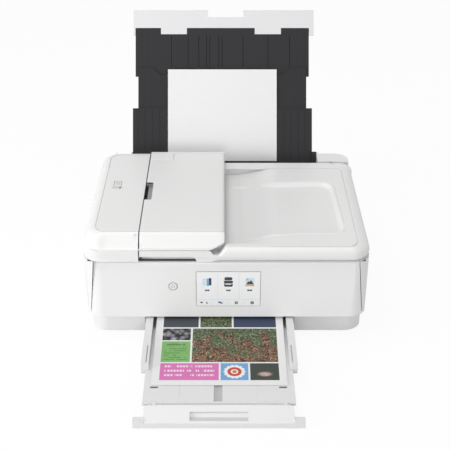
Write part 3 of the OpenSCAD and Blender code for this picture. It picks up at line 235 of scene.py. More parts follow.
# %% The moulded plastic group
def build_moulded_group():
    """Fine grain for the bump, slow drift for tone and gloss."""
    group, given = new_group("moulded plastic", Tint=grey(0.8), Grain=0.6, Gloss=0.4, Drift=0.02)
    where = object_place(group)
    scale = maths(group, "DIVIDE", 1000.0, given["Grain"])
    grain = noise(group, where, scale, 2.0, Roughness=0.55)
    pits = add_node(group, "TexVoronoi", {"Vector": where, "Scale": scale, "Randomness": 1.0})
    drift = maths(group, "MULTIPLY_ADD", noise(group, where, 9.0, 3.0), 2.0, -1.0)
    speck = maths(group, "MULTIPLY_ADD", grain, 0.03, -0.015)
    level = maths(group, "ADD", maths(group, "ADD", product(group, drift, given["Drift"]), speck), 1.0)
    rough = maths(group, "MULTIPLY_ADD", grain, 0.10, given["Gloss"])
    return give(group, Colour=shaded(group, given["Tint"], level),
                Roughness=maths(group, "MULTIPLY_ADD", drift, 0.03, rough, clamp=True),
                Height=maths(group, "MULTIPLY_ADD", pits.outputs["Distance"], 0.6, grain))


MOULDED = build_moulded_group()


def plastic(name, tint, gloss=0.38, grain=0.6, depth=0.012, drift=0.012, coat=0.0, **sockets):
    """Moulded plastic. gloss is roughness, grain the pebbles' size and depth their height, in mm."""
    return patterned(name, MOULDED,
                     {"Tint": tint, "Grain": grain, "Gloss": gloss - 0.05, "Drift": drift},
                     depth, Coat_Weight=coat, **sockets)


shell_white = plastic("shell_white", rgb(0.80, 0.80, 0.795), gloss=0.42)
cover_white = plastic("cover_white", rgb(0.80, 0.80, 0.795), gloss=0.40, grain=0.5)
panel_white = plastic("panel_white", grey(0.81), gloss=0.34, grain=0.4, depth=0.006)
tray_white = plastic("tray_white", rgb(0.74, 0.74, 0.745), gloss=0.45)
cap_grey = plastic("cap_grey", rgb(0.70, 0.70, 0.71), gloss=0.45)
charcoal = plastic("charcoal", rgb(0.020, 0.020, 0.022), gloss=0.62, grain=0.8, depth=0.03,
                   Specular_IOR_Level=0.28)
# Painted shade: near-black for the dark lines that the upper section's grooves show
groove_painted_shade = plastic("groove_painted_shade", rgb(0.006, 0.006, 0.007), gloss=0.7, grain=0.0,
                       Specular_IOR_Level=0.1)
deep_black = plastic("deep_black", rgb(0.012, 0.012, 0.013), gloss=0.5)
mid_grey = plastic("mid_grey", rgb(0.22, 0.22, 0.225), gloss=0.5)
gear_ivory = plastic("gear_ivory", rgb(0.70, 0.68, 0.62), gloss=0.35, depth=0.004)
pad_white = plastic("pad_white", rgb(0.84, 0.84, 0.83), gloss=0.75, grain=1.4, depth=0.05)
# Painted shade: darker greys for the insides of the two finger pockets and of the extension's slots and
# channel, where they lie in shadow
support_pocket_painted_shade = plastic("support_pocket_painted_shade", grey(0.62))
tray_pocket_painted_shade = plastic("tray_pocket_painted_shade", rgb(0.43, 0.43, 0.435))
slot_shade = plastic("slot_shade", grey(0.10))
channel_shade = plastic("channel_shade", grey(0.50))
ring_grey = plastic("ring_grey", rgb(0.24, 0.245, 0.25), gloss=0.35, depth=0.002)
sign_grey = plastic("sign_grey", rgb(0.20, 0.20, 0.205), gloss=0.5, depth=0.002)
print("plastics made:", len(bpy.data.materials))

# %% [markdown]
# ## Metal, rubber, glass and card
#
# The shafts are ground, so their scratches run round them; the chassis is galvanised sheet, which shows
# a spangle of large flat crystals. Rubber is dull with a dusting of paper fibre. Each is its own short
# group, because the pattern is what tells one dark grey material from another.

# %% Ground steel and galvanised sheet
def build_steel_group():
    """Fine scratches along one axis and a crystal spangle, mixed by how much of each is asked for."""
    group, given = new_group("steel", Tint=grey(0.6), Spangle=0.0, Gloss=0.3)
    where = object_place(group)
    stretched = add_node(group, "Mapping", {"Vector": where, "Scale": (4000.0, 60.0, 60.0)})
    scratch = noise(group, stretched.outputs[0], 1.0, 3.0)
    crystal = add_node(group, "TexVoronoi", {"Vector": where, "Scale": 130.0})
    face = add_node(group, "SeparateColor", {0: crystal.outputs["Color"]}).outputs[0]
    wave = maths(group, "MULTIPLY_ADD", face, given["Spangle"], 1.0)
    wave = maths(group, "SUBTRACT", wave, product(group, given["Spangle"], 0.5))
    return give(group, Colour=shaded(group, given["Tint"], wave), Height=scratch,
                Roughness=maths(group, "MULTIPLY_ADD", scratch, 0.15, given["Gloss"], clamp=True))


STEEL = build_steel_group()


def metal(name, tint, spangle=0.0, gloss=0.25):
    """Bare metal with scratches or a spangle."""
    return patterned(name, STEEL, {"Tint": tint, "Spangle": spangle, "Gloss": gloss}, 0.004,
                     Metallic=1.0)


galvanised = metal("galvanised", rgb(0.56, 0.57, 0.58), spangle=0.35, gloss=0.32)
ground_steel = metal("ground_steel", rgb(0.66, 0.66, 0.67), gloss=0.18)
motor_can = metal("motor_can", rgb(0.42, 0.42, 0.43), spangle=0.05, gloss=0.3)
brass = metal("brass", rgb(0.72, 0.53, 0.24), gloss=0.22)
print("plastics and metals made:", len(bpy.data.materials))

# %% Rubber, glass, ink tanks and the board
def build_dusty_group():
    """Dull rubber with pale fibre dust that gathers in patches."""
    group, given = new_group("dusty rubber", Tint=grey(0.1), Dust=0.1)
    where = object_place(group)
    fine = noise(group, where, 900.0, 3.0)
    mask = product(group, fine, noise(group, where, 70.0, 4.0))
    mask = maths(group, "MULTIPLY", mask, given["Dust"], clamp=True)
    return give(group, Colour=mix_colours(group, mask, given["Tint"], rgb(0.5, 0.5, 0.48)),
                Roughness=maths(group, "MULTIPLY_ADD", fine, 0.2, 0.65), Height=fine)


DUSTY = build_dusty_group()


def rubber(name, tint, dust=0.35):
    """Rubber of a roller, a belt, a foot or a seal."""
    return patterned(name, DUSTY, {"Tint": tint, "Dust": dust}, 0.05)


roller_rubber = rubber("roller_rubber", rgb(0.045, 0.045, 0.048))
belt_rubber = rubber("belt_rubber", grey(0.012), dust=0.15)
# Painted shade: dark rubber for the strip that stands for the shadow under the cover's front
gap_painted_shade = rubber("gap_painted_shade", grey(0.09))

pane_glass, tree, shader = principled(
    "pane_glass", Base_Color=rgb(0.82, 0.90, 0.89), Transmission_Weight=0.9, IOR=1.5)
smear = noise(tree, object_place(tree), 14.0, 4.0)
tree.links.new(maths(tree, "MULTIPLY_ADD", smear, 0.06, 0.01), shader.inputs["Roughness"])

INKS = {"black": grey(0.012), "grey": rgb(0.05, 0.05, 0.055), "cyan": rgb(0.01, 0.28, 0.50),
        "magenta": rgb(0.48, 0.02, 0.18), "yellow": rgb(0.80, 0.58, 0.02)}
tank_finish = {
    f"ink_tank_{number}": plastic(f"tank_{ink}", tint, gloss=0.16, depth=0.002, coat=0.4, drift=0.03)
    for number, (ink, tint) in enumerate(INKS.items(), 1)}
board_green = plastic("board_green", rgb(0.015, 0.11, 0.045), gloss=0.3, drift=0.2, grain=2.0)
print("ink tanks:", len(tank_finish))

# %% [markdown]
# ## Paper
#
# Plain copier paper is bright, quite rough and very slightly mottled, because the fibres lie in clouds.
# Light grazing over it shows the fibres as a faint felted relief.

# %% The paper group
def build_paper_group():
    """Cloudy tone and felted relief."""
    group, given = new_group("paper", Tint=rgb(0.85, 0.85, 0.84))
    where = object_place(group)
    level = maths(group, "MULTIPLY_ADD", noise(group, where, 60.0, 5.0), 0.025, 0.9875)
    return give(group, Colour=shaded(group, given["Tint"], level),
                Height=noise(group, where, 1600.0, 3.0, Distortion=0.8))


PAPER = build_paper_group()
PAPER_RELIEF = 0.02
sheet_paper = patterned("sheet_paper", PAPER, {"Tint": grey(0.77)}, PAPER_RELIEF, Roughness=0.8)
print("node groups:", len(bpy.data.node_groups))

# %% [markdown]
# ## Which part has which finish

# %% Paint the parts
USES = (
    (roller_rubber, "rubber_feet feed_roller eject_roller turn_roller pickup_roller feeder_roller"),
    (belt_rubber, "paper_belt carriage_belt"),
    (galvanised, "chassis_frame"),
    (ground_steel, "guide_rod star_wheels print_head data_ports scan_rod hinge_pins"),
    (motor_can, "feed_motor carriage_motor power_supply"),
    (brass, "motor_pinion drive_pulley"),
    (deep_black, "platen pickup_arm print_carriage power_inlet scan_bar"),
    (gear_ivory, "feed_gear pinch_rollers"),
    (mid_grey, "idler_pulley maintenance_station"),
    (board_green, "main_board"),
    (charcoal, "rear_feed_tray support_middle support_upper rear_guide_left rear_guide_right"),
    (cap_grey, "support_cap"),
    (sheet_paper, "blank_sheet printed_sheet"),
    (pane_glass, "platen_glass"),
    (pad_white, "cover_pad"),
    (cover_white, "document_cover feeder_cover document_tray"),
    (panel_white, "operation_panel touch_screen power_button"),
    (tray_white, "paper_cassette output_tray output_extension output_support"),
)
finish_of = {part: finish for finish, parts in USES for part in parts.split()} | tank_finish


def paint(obj, material):
    """Gives a mesh one material in place of all it had."""
    obj.data.materials.clear()
    obj.data.materials.append(material)


def belongs(piece, body, material=None):
    """Puts a piece on its body, and paints it."""
    if material:
        paint(piece, material)
    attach(piece, body)
    return piece


for name, obj in nodes.items():
    paint(obj, finish_of.get(name, shell_white))
print("finishes:", len(USES) + len(INKS) + 1)

# %% [markdown]
# ## Soft edges
#
# A moulding has no sharp edge: the tool's corners are rounded by a few tenths of a millimetre, and each
# rounding catches a thin line of light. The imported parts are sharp, so the ones that show get a copy
# whose points are merged, whose flat faces are joined up, and whose edges a Bevel modifier rounds off.
# The copy replaces the part and rides on the same body.

# %% Copies with rounded edges
SUPPORT_UP, SUPPORT_OUT = np.array([0.0, 0.478692, 0.877983]), np.array([0.0, -0.877983, 0.478692])
AXES = {"x": (1, 0, 0), "y": (0, 1, 0), "z": (0, 0, 1)}


def on_support(x, up, out):
    """A place in mm, from how far along the leaning rear support and how far out of it it lies."""
    return np.array([x, 0.0, 0.0]) + up * SUPPORT_UP + out * SUPPORT_OUT


def carve(work, cuts, drop):
    """Splits a mesh's faces along planes, each an axis and a place in mm, and leaves some faces out.

    drop says, of a face's centre in mm and its normal, whether the face is left out.
    """
    for axis, place in cuts:
        everything = list(work.verts) + list(work.edges) + list(work.faces)
        bmesh.ops.bisect_plane(work, geom=everything, plane_co=Vector(AXES[axis]) * place * MM,
                               plane_no=AXES[axis])
    if drop:
        gone = [face for face in work.faces if drop(face.calc_center_median() / MM, face.normal)]
        bmesh.ops.delete(work, geom=gone, context="FACES")


def apply_modifiers(piece):
    """Puts the mesh that a piece's modifiers give in place of its own."""
    ready = piece.evaluated_get(bpy.context.evaluated_depsgraph_get())
    mesh = bpy.data.meshes.new_from_object(ready)
    piece.modifiers.clear()
    piece.data = mesh


def notched(piece, box):
    """Takes a box off a piece; its limits along x, up and out lie in the rear support's plane."""
    corners = [on_support(x, up, out) for x in box[0] for up in box[1] for out in box[2]]
    faces = [(0, 1, 3, 2), (4, 6, 7, 5), (0, 4, 5, 1), (2, 3, 7, 6), (0, 2, 6, 4), (1, 5, 7, 3)]
    cutter = new_object("cutter", new_mesh("cutter", corners, faces))
    cut = piece.modifiers.new("notch", "BOOLEAN")
    cut.operation, cut.solver, cut.object = "DIFFERENCE", "EXACT", cutter
    apply_modifiers(piece)
    bpy.data.objects.remove(cutter)


def softened(name, width, cuts=(), drop=None, notches=()):
    """A rounded-edge copy of a part; width is the rounding in mm.

    Faces are left out where a shaped skin takes their place. Notches are boxes to take off.
    """
    source = nodes[name]
    mesh = source.data.copy()
    work = bmesh.new()
    work.from_mesh(mesh)
    bmesh.ops.remove_doubles(work, verts=work.verts, dist=0.002 * MM)
    bmesh.ops.dissolve_limit(work, angle_limit=math.radians(0.4), verts=work.verts, edges=work.edges)
    carve(work, cuts, drop)
    work.to_mesh(mesh)
    work.free()
    piece = new_object(name + "_skin", mesh)
    for box in notches:
        notched(piece, box)
    piece.data.shade_smooth()
    bevel = piece.modifiers.new("rounding", "BEVEL")
    bevel.width = width * MM
    bevel.segments = 3
    bevel.limit_method = "ANGLE"
    bevel.angle_limit = math.radians(32.0)
    bevel.use_clamp_overlap = True
    flat = piece.modifiers.new("flat faces", "WEIGHTED_NORMAL")
    flat.weight = 100
    flat.keep_sharp = True
    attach(piece, source["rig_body"])
    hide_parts(name)
    return piece


def bar_middle(centre, normal):
    """True for the faces of the output support's foot bar that its slope covers."""
    return bool(abs(centre.x + 11.5) < 112.0 and centre.y < -410.9 and centre.z > 10.0)


ROUNDING = {
    "main_case": 0.8, "rear_case": 0.8, "base_pan": 0.8, "operation_panel": 0.8, "output_tray": 0.5,
    "output_extension": 0.5, "support_cap": 0.5, "support_middle": 0.4, "rear_feed_tray": 0.4,
}
for name, width in ROUNDING.items():
    softened(name, width)
# The upper section's wings end above the middle section's edge
softened("support_upper", 0.4, notches=[(sides, (360.0, 389.0), (-105.0, -90.0))
                                        for sides in ((-180.0, -170.5), (154.8, 165.0))])
softened("output_support", 0.8, drop=bar_middle,
         cuts=[("x", -123.5), ("x", 100.5), ("z", 10.0), ("y", -410.9)])
print("softened", len(ROUNDING) + 2, "parts")

# %% [markdown]
# ## Shaped skins
#
# The feeder and the document cover are blown-up forms: their sides swell outwards, the front of the
# feeder falls in a slow S, and a fine groove runs round the flat top. Such a skin is a net of rows and
# columns. Each row is the plan outline, drawn in by a distance that a side profile gives together with
# its height. Front, left and rear have profiles of their own and blend along the round corners.

# %% Tools for nets
def ease(low, high, value):
    """Smooth step from 0 at low to 1 at high."""
    share = np.clip((np.asarray(value, float) - low) / (high - low), 0.0, 1.0)
    return share * share * (3.0 - 2.0 * share)


def net(name, points, body, material, keep=None, wall=0.0, sharp=35.0, closed=False, cuts=(),
        drop=None):
    """A skin from an array of rows and columns of points in mm; keep masks its faces.

    The faces are turned so that on the whole they look up, or outwards on a closed shape.
    """
    rows, columns = points.shape[:2]
    grid = np.arange(rows * columns).reshape(rows, columns)
    quads = np.stack([grid[:-1, :-1], grid[:-1, 1:], grid[1:, 1:], grid[1:, :-1]], -1).reshape(-1, 4)
    if keep is not None:
        quads = quads[np.asarray(keep).reshape(-1)]
    points = points.reshape(-1, 3)
    corners = points[quads]
    across = np.cross(corners[:, 2] - corners[:, 0], corners[:, 3] - corners[:, 1])
    outwards = corners.mean(axis=1) - points.mean(axis=0) if closed else np.array([0.0, 0.0, 1.0])
    if (across * outwards).sum() < 0.0:
        quads = quads[:, ::-1]
    mesh = new_mesh(name, points, quads.tolist())
    work = bmesh.new()
    work.from_mesh(mesh)
    bmesh.ops.delete(work, geom=[v for v in work.verts if not v.link_faces], context="VERTS")
    bmesh.ops.remove_doubles(work, verts=work.verts, dist=0.001 * MM)
    carve(work, cuts, drop)
    work.to_mesh(mesh)
    work.free()
    piece = new_object(name, mesh)
    if wall:
        thick = piece.modifiers.new("wall", "SOLIDIFY")
        thick.thickness = wall * MM
        thick.offset = -1.0
        apply_modifiers(piece)
    piece.data.shade_smooth()
    piece.data.set_sharp_from_angle(angle=math.radians(sharp))
    return belongs(piece, body, material)


def face_centres(rows):
    """The middles of a net's faces, to choose which to keep; returns x, y and z."""
    centre = 0.25 * (rows[1:, 1:] + rows[:-1, 1:] + rows[1:, :-1] + rows[:-1, :-1])
    return centre[..., 0], centre[..., 1], centre[..., 2]


def arc(centre, radius, start, stop, count):
    """Points of an arc; the angles are in degrees."""
    angle = np.radians(np.linspace(start, stop, count))
    return np.stack([centre[0] + radius * np.cos(angle), centre[1] + radius * np.sin(angle)], -1)


def raised(way, z):
    """The points of a plan outline at a height."""
    return np.column_stack([way, np.broadcast_to(z, len(way))])


def line(start, stop, count):
    """Points of a straight line."""
    return np.stack([np.linspace(a, b, count) for a, b in zip(start, stop)], -1)


# %% The feeder's profiles
FEEDER_TOP = 190.0
CREASE_Z = 168.3
BEVEL_RISE = 21.6
steps = np.linspace(0.0, 1.0, 15)[1:]
s_curve = 0.3 * steps + 0.7 * steps * steps * (3.0 - 2.0 * steps)
quarter = np.radians(90.0 * steps)
groove_in = np.array([0.15, 0.4, 0.95, 1.5, 1.75, 2.9])
groove_z = FEEDER_TOP - np.array([0.3, 1.7, 1.9, 1.7, 0.15, 0.0])

front_in = np.concatenate([[0, 0, 0, 0, 0.05, 0.8, 0.8, 0.2], 0.2 + 23.2 * steps ** 0.96, 23.4 + groove_in])
front_z = np.concatenate([[152.5, 157, 162, 166, 166.8, 167.2, 167.8, CREASE_Z],
                          CREASE_Z + BEVEL_RISE * s_curve - 0.1 * steps, groove_z])
side_in = np.concatenate([[0, 0, 0.05, 0.15, 0.35, 0.7, 1.0, 1.4],
                          1.4 + 17.6 * (1.0 - np.cos(quarter)), 19.0 + groove_in])
side_z = np.concatenate([[152.5, 155.5, 158.5, 161.5, 164, 166, 167.2, CREASE_Z],
                         CREASE_Z + 21.5 * np.sin(quarter), groove_z])
rear_in = np.concatenate([np.zeros(8), 12.3 * (1.0 - np.cos(quarter)), 12.3 + groove_in])
rear_z = np.concatenate([np.linspace(172.5, 176.0, 8), 176.0 + 13.8 * np.sin(quarter), groove_z])
print("profile points:", len(front_in), len(side_in), len(rear_in))

# %% The feeder cover's skin
FEEDER_LEFT, FEEDER_FRONT, FEEDER_REAR, SEAM_X = -234.0, -183.0, 150.0, -142.0
HALF_SEAM = 0.9


def cover_row(k):
    """One row of the feeder cover: its outline at the height of profile point k."""
    part = ease(7, len(front_in) - 1, k)
    left, front, rear = FEEDER_LEFT + side_in[k], FEEDER_FRONT + front_in[k], FEEDER_REAR - rear_in[k]
    near, far = 30.0 - 12.0 * part, 20.0 - 4.0 * part
    end = SEAM_X - HALF_SEAM
    outline = np.concatenate([
        line((end, front), (left + near, front), 40),
        arc((left + near, front + near), near, 270, 180, 20)[1:],
        line((left, front + near), (left, rear - far), 60)[1:],
        arc((left + far, rear - far), far, 180, 90, 20)[1:],
        line((left + far, rear), (end, rear), 40)[1:]])
    as_front = np.where(outline[:, 1] < -60, ease(-216, -192, outline[:, 0]), 0.0)
    as_rear = np.where(outline[:, 1] > 60, ease(-222, -206, outline[:, 0]), 0.0)
    height = side_z[k] + as_front * (front_z[k] - side_z[k]) + as_rear * (rear_z[k] - side_z[k])
    return raised(outline, height)


cover_rows = np.stack([cover_row(k) for k in range(len(front_in))])
_, y, z = face_centres(cover_rows)
net("feeder_cover_form", cover_rows, "feeder_lid", cover_white,
    keep=~((y > 112.0) & (z < 172.4)), wall=2.0)
rim = cover_rows[-1]
cover_top = new_object("feeder_cover_top", new_mesh("feeder_cover_top", rim, [tuple(range(len(rim)))[::-1]]))
belongs(cover_top, "feeder_lid", cover_white)


def cover_outside(centre, normal):
    """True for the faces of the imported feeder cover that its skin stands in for."""
    x, y, z = centre
    if z < 152.5 or (y > 112.0 and z < 172.4):
        return False
    tab = x > -142.85 and -37 < y < 11 and 183.4 < z < 185.6
    flange = x > -150.1 and y < -160.0 and 180.0 < z < 186.5
    flat = normal.z > 0.9 and z > 189.8
    slope = normal.z > 0.2 and (normal.x < -0.2 or normal.y < -0.2)
    upright = normal.z < 0.2 and (x < -233.5 or y < -182.5 or y > 149.5
                                  or (normal.x < -0.1 and x < -222 and abs(y) > 120))
    return bool(tab or flange or flat or slope or upright)


softened("feeder_cover", 0.3, drop=cover_outside,
         cuts=[("z", 152.5), ("z", 172.4), ("y", 112.0), ("x", -142.9), ("y", -160.0), ("z", 180.0)])
print("cover net:", cover_rows.shape[:2])

# %% The document tray's skin
TRAY_LEFT, TRAY_RIGHT, TRAY_REAR = SEAM_X + HALF_SEAM, -3.6, 144.5
NOTCH_RIGHT, NOTCH_FRONT, NOTCH_REAR = -129.0, -46.0, 20.0
EDGE_DROP = 4.5
depth_rows = np.concatenate([[2.6, 0.25], front_in[7:]])
height_rows = np.concatenate([[CREASE_Z - 0.1, CREASE_Z - 0.1], front_z[7:]])
plain = np.array([-150.0, -120.0, -90.0, -60.0, NOTCH_FRONT, -13.0, NOTCH_REAR, 60.0, 90.0, 110.0])
cap_line = 116.3 + np.array([0.0, 0.4, 1.1, 1.8, 2.2])
tray_y = np.concatenate([FEEDER_FRONT + depth_rows, plain, cap_line,
                         [125.0, TRAY_REAR - 0.6, TRAY_REAR, TRAY_REAR]])
tray_z = np.concatenate([height_rows, np.full(len(plain) + len(cap_line) + 2, FEEDER_TOP),
                         [FEEDER_TOP - 0.6, FEEDER_TOP - 6.0]])
flat_x = np.array([TRAY_LEFT, TRAY_LEFT, TRAY_LEFT + 0.5, -135.0, NOTCH_RIGHT, -115.0])
cap_end = -99.4 + np.array([0.0, 0.6, 1.6, 2.6, 3.2])
turn = np.radians(np.linspace(0, 90, 9))
tray_x = np.concatenate([flat_x, cap_end, np.linspace(-85.0, -14.0, 30), -8.1 + EDGE_DROP * np.sin(turn),
                         [TRAY_RIGHT]])
tray_drop = np.concatenate([[6.0, 0.5], np.zeros(len(tray_x) - len(turn) - 3),
                            EDGE_DROP * (1 - np.cos(turn)), [7.0]])
grid_x, grid_y = np.meshgrid(tray_x, tray_y)
grid_z = tray_z[:, None] - tray_drop[None, :]
# Where the corner is cut away, the columns close up towards the seam
limit = TRAY_RIGHT - 2.52 * np.clip(-172.2 - tray_y, 0.0, None) - 0.5 * ease(-166.0, -172.2, tray_y)
cut_rows = (tray_y < -160.0)[:, None]
scale = (limit - TRAY_LEFT) / (TRAY_RIGHT - TRAY_LEFT)
grid_x = np.where(cut_rows, TRAY_LEFT + (grid_x - TRAY_LEFT) * scale[:, None], grid_x)
grid_z = np.where(cut_rows, tray_z[:, None] - np.minimum(tray_drop, 0.8)[None, :], grid_z)
# The groove of the hinge cap at the rear left
across = np.exp(-((grid_y - 117.4) / 0.75) ** 2) * (grid_x < -96.2)
along = 1.3 * np.exp(-((grid_x + 97.8) / 1.1) ** 2) * (grid_y > 117.0) * (grid_y < 144.0)
grid_z = grid_z - 1.7 * np.maximum(across, along)
tray_rows = np.stack([grid_x, grid_y, grid_z], -1)
x, y, _ = face_centres(tray_rows)
net("document_tray_form", tray_rows, "feeder_tray", cover_white,
    keep=~((x < NOTCH_RIGHT) & (y > NOTCH_FRONT) & (y < NOTCH_REAR)), wall=2.0)


def tray_outside(centre, normal):
    """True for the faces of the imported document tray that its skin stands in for."""
    lip = centre.z < CREASE_Z and centre.y < -160.0
    top = normal.z > 0.3 and centre.z > CREASE_Z - 2.0 and (centre.z > 187.6 or centre.y < -158.0)
    edge = normal.x > 0.3 and centre.x > -8.5 and centre.z > 183.0
    return bool(lip or top or edge)


softened("document_tray", 0.3, drop=tray_outside)
print("tray net:", tray_rows.shape[:2])

# %% The tray's finger pocket
# The pocket's grey is painted shade: it is the tray's white plastic, darkened where its walls and floor lie
# in shadow
POCKET_LEFT, POCKET_FLOOR, POCKET_CORNER = -138.0, 179.0, 2.2
mouth = np.concatenate([
    [[POCKET_LEFT, NOTCH_FRONT]],
    arc((NOTCH_RIGHT - POCKET_CORNER, NOTCH_FRONT + POCKET_CORNER), POCKET_CORNER, 270, 360, 7),
    arc((NOTCH_RIGHT - POCKET_CORNER, NOTCH_REAR - POCKET_CORNER), POCKET_CORNER, 0, 90, 7),
    [[POCKET_LEFT, NOTCH_REAR]]])
corner_in = np.column_stack([np.minimum(mouth[:, 0], NOTCH_RIGHT - 0.8),
                             np.clip(mouth[:, 1], NOTCH_FRONT + 0.8, NOTCH_REAR - 0.8)])
left_edge = np.column_stack([np.full(len(mouth), POCKET_LEFT), corner_in[:, 1]])
pocket_rows = np.stack([raised(mouth, FEEDER_TOP - 0.2), raised(mouth, POCKET_FLOOR + 1.0),
                        raised(corner_in, POCKET_FLOOR), raised(left_edge, POCKET_FLOOR)])
net("finger_pocket", pocket_rows[::-1], "feeder_tray", tray_pocket_painted_shade)
print("pocket depth in mm:", FEEDER_TOP - POCKET_FLOOR)

# %% The upper section's grooves, as painted shade
# Painted shade: the grooves across the upper section's face show as dark lines, so near-black flat strips a
# hair over the face stand in for them
GROOVE_SHADE_X = (-106.3, -74.0, -53.4, -38.6, -32.1, -14.7, -8.3, 32.4, 80.8, 122.7)
GROOVE_SHADE_ENDS, GROOVE_SHADE_FACE, HALF_GROOVE_SHADE = (407.0, 468.0), -95.44, 0.5
groove_shade_rows = np.array([[on_support(x, up, GROOVE_SHADE_FACE) for up in GROOVE_SHADE_ENDS]
                     for groove_x in GROOVE_SHADE_X for x in (groove_x - HALF_GROOVE_SHADE, groove_x + HALF_GROOVE_SHADE)])
net("upper_groove_shade", groove_shade_rows, "support_3", groove_painted_shade,
    keep=np.arange(len(groove_shade_rows) - 1) % 2 == 0)
print("ribs:", len(GROOVE_SHADE_X))

# %% [markdown]
# ## The document cover's right half
#
# Pages slide out from under the tray into a shallow basin. The bed starts low, under the tray, and
# swells to the rim; the rim has a fine groove, and the basin's walls are short soft slopes. The rows
# run from the outer edge inwards as far as the groove, and from there a net of columns spans the bed.

# %% The cover's bed
BED_LOW, RIM_Z, SIDE_TOP = 158.2, 172.15, 157.0
BED_LEFT, COVER_RIGHT, COVER_FRONT, COVER_REAR = -24.0, 234.0, -183.0, 145.0
GROOVE_RIGHT, GROOVE_FRONT, GROOVE_REAR = 213.0, -177.6, 115.0
BASIN_CORNER = 20.0


def bed_height(x):
    """Height of the bed, which rises from the feeder's exit to the rim."""
    return BED_LOW + (RIM_Z - BED_LOW) * ease(14.0, 92.0, x)


def front_rim(x, y):
    """1 on the front rim, which begins just right of the feeder, falling softly to 0 behind it."""
    return ease(-14.0, 1.0, x) * ease(-135.0, -172.0, y)


def rim_height(x, y):
    """Height of the rim: level at the rear and at the front."""
    level = np.maximum(front_rim(x, y), ease(98.0, 102.0, y))
    return bed_height(x) + (RIM_Z - bed_height(x)) * level


def bed_field(x, y):
    """Height of the skin inside the groove: the bed and the front rim's fall, less the basin."""
    base = bed_height(x) + (RIM_Z - bed_height(x)) * front_rim(x, y)
    right = 190.5 - (y - 57.0) / 182.0 * 5.5
    near = -132.5 - 4.0 * ease(122.0, 96.0, x) + 6.0 * ease(92.0, 20.0, x)
    far = 57.0 - 6.0 * (188.0 - x) / 164.0 + 15.0 * ease(92.0, 20.0, x)
    along_x = np.maximum(x - (right - BASIN_CORNER), 0.0)
    along_y = np.maximum(np.maximum(near + BASIN_CORNER - y, y - (far - BASIN_CORNER)), 0.0)
    inside = np.where((along_x > 0) & (along_y > 0), BASIN_CORNER - np.hypot(along_x, along_y),
                      np.minimum(right - x, np.minimum(y - near, far - y)))
    fade, deeper = ease(-2.0, 50.0, x), ease(150.0, 190.0, x)
    depth = (5.6 + 1.6 * deeper) * ease(0.0, 4.4 + 3.0 * deeper, inside) * fade
    lip = 0.45 * np.exp(-((inside + 1.0) / 0.9) ** 2) * fade
    seam = 1.1 * np.exp(-((inside + 2.9) / 0.9) ** 2) * ease(60.0, 100.0, x)
    tick = 1.6 * np.exp(-((y + 31.8) / 0.8) ** 2) * ease(192.5, 194.5, x) * ease(215.0, 212.0, x)
    return base - depth + lip - seam - tick


print("bed in mm, from", BED_LOW, "up to", RIM_Z)

# %% The cover's skin
REAR_LOW, REAR_FROM = 166.0, 118.0
FRONT_RADIUS, REAR_RADIUS = 30.0, 18.0
UNDERCUT = ((147.0, 5.0), (147.3, 3.9), (148.3, 2.5), (150.0, 1.3), (152.5, 0.5), (155.0, 0.1))
GROOVE = ((-0.8, 0.0), (-0.5, 1.5), (0.1, 1.8), (0.7, 1.5), (1.0, 0.0))
# The right hinge post stands in a slot through the rear rim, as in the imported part
SLOT_LEFT, SLOT_RIGHT, SLOT_FRONT = 193.8, 200.2, 134.2


def towards_right(end, y):
    """A leg from the bed's left edge to end, with its points closer together at the right."""
    share = 1.0 - (1.0 - np.linspace(0.0, 1.0, 150)) ** 1.4
    return np.stack([BED_LEFT + (end - BED_LEFT) * share, np.full(150, y)], -1)


def cover_outline(inset_front, inset_right, inset_rear, near, far):
    """One row's outline, and its front leg and rear leg by themselves."""
    right, front, rear = COVER_RIGHT - inset_right, COVER_FRONT + inset_front, COVER_REAR - inset_rear
    front_leg = np.concatenate([towards_right(right - near, front),
                                arc((right - near, front + near), near, 270, 360, 14)[1:]])
    rear_leg = np.concatenate([towards_right(right - far, rear),
                               arc((right - far, rear - far), far, 90, 0, 14)[1:]])
    right_leg = line(front_leg[-1], rear_leg[-1], 100)[1:-1]
    return np.concatenate([front_leg, right_leg, rear_leg[::-1]]), front_leg, rear_leg


def hinge_slot(centre, normal):
    """True for the faces of the rear rim that the hinge's slot takes away."""
    return bool(SLOT_LEFT < centre.x < SLOT_RIGHT and centre.y > SLOT_FRONT)


rows = []
for low_z, inset in UNDERCUT:
    way, _, _ = cover_outline(0.0, 0.0, 0.0, FRONT_RADIUS, REAR_RADIUS)
    out = inset * ease(-24.0, -6.0, way[:, 0]) * ease(REAR_FROM, 60.0, way[:, 1])
    in_front, in_right = ease(-152.0, -160.0, way[:, 1]), ease(196.0, 226.0, way[:, 0])
    base = np.where(way[:, 1] > REAR_FROM, REAR_LOW, low_z)
    rows.append(raised(way + np.column_stack([-out * in_right, out * in_front]), base))
for share in np.linspace(0.0, 1.0, 13):
    angle = math.radians(90.0 * share)
    inward = 1 - math.cos(angle)
    way, _, _ = cover_outline(4.2 * inward, 19.2 * inward, 6.5 * inward,
                              FRONT_RADIUS - 12.0 * share, REAR_RADIUS - 6.0 * share)
    start = np.where(way[:, 1] > REAR_FROM, REAR_LOW, SIDE_TOP)
    rows.append(raised(way, start + (rim_height(*way.T) - start) * math.sin(angle)))
for inset, dip in GROOVE:
    way, inner_front, inner_rear = cover_outline(
        GROOVE_FRONT - COVER_FRONT + inset, COVER_RIGHT - GROOVE_RIGHT + inset,
        COVER_REAR - GROOVE_REAR + inset, FRONT_RADIUS - 12.0, REAR_RADIUS - 6.0)
    rows.append(raised(way, rim_height(*way.T) - dip * ease(64.0, 76.0, way[:, 0])))
net("document_cover_edge", np.stack(rows), "lid", cover_white, drop=hinge_slot,
    cuts=[("x", SLOT_LEFT), ("x", SLOT_RIGHT), ("y", SLOT_FRONT)])

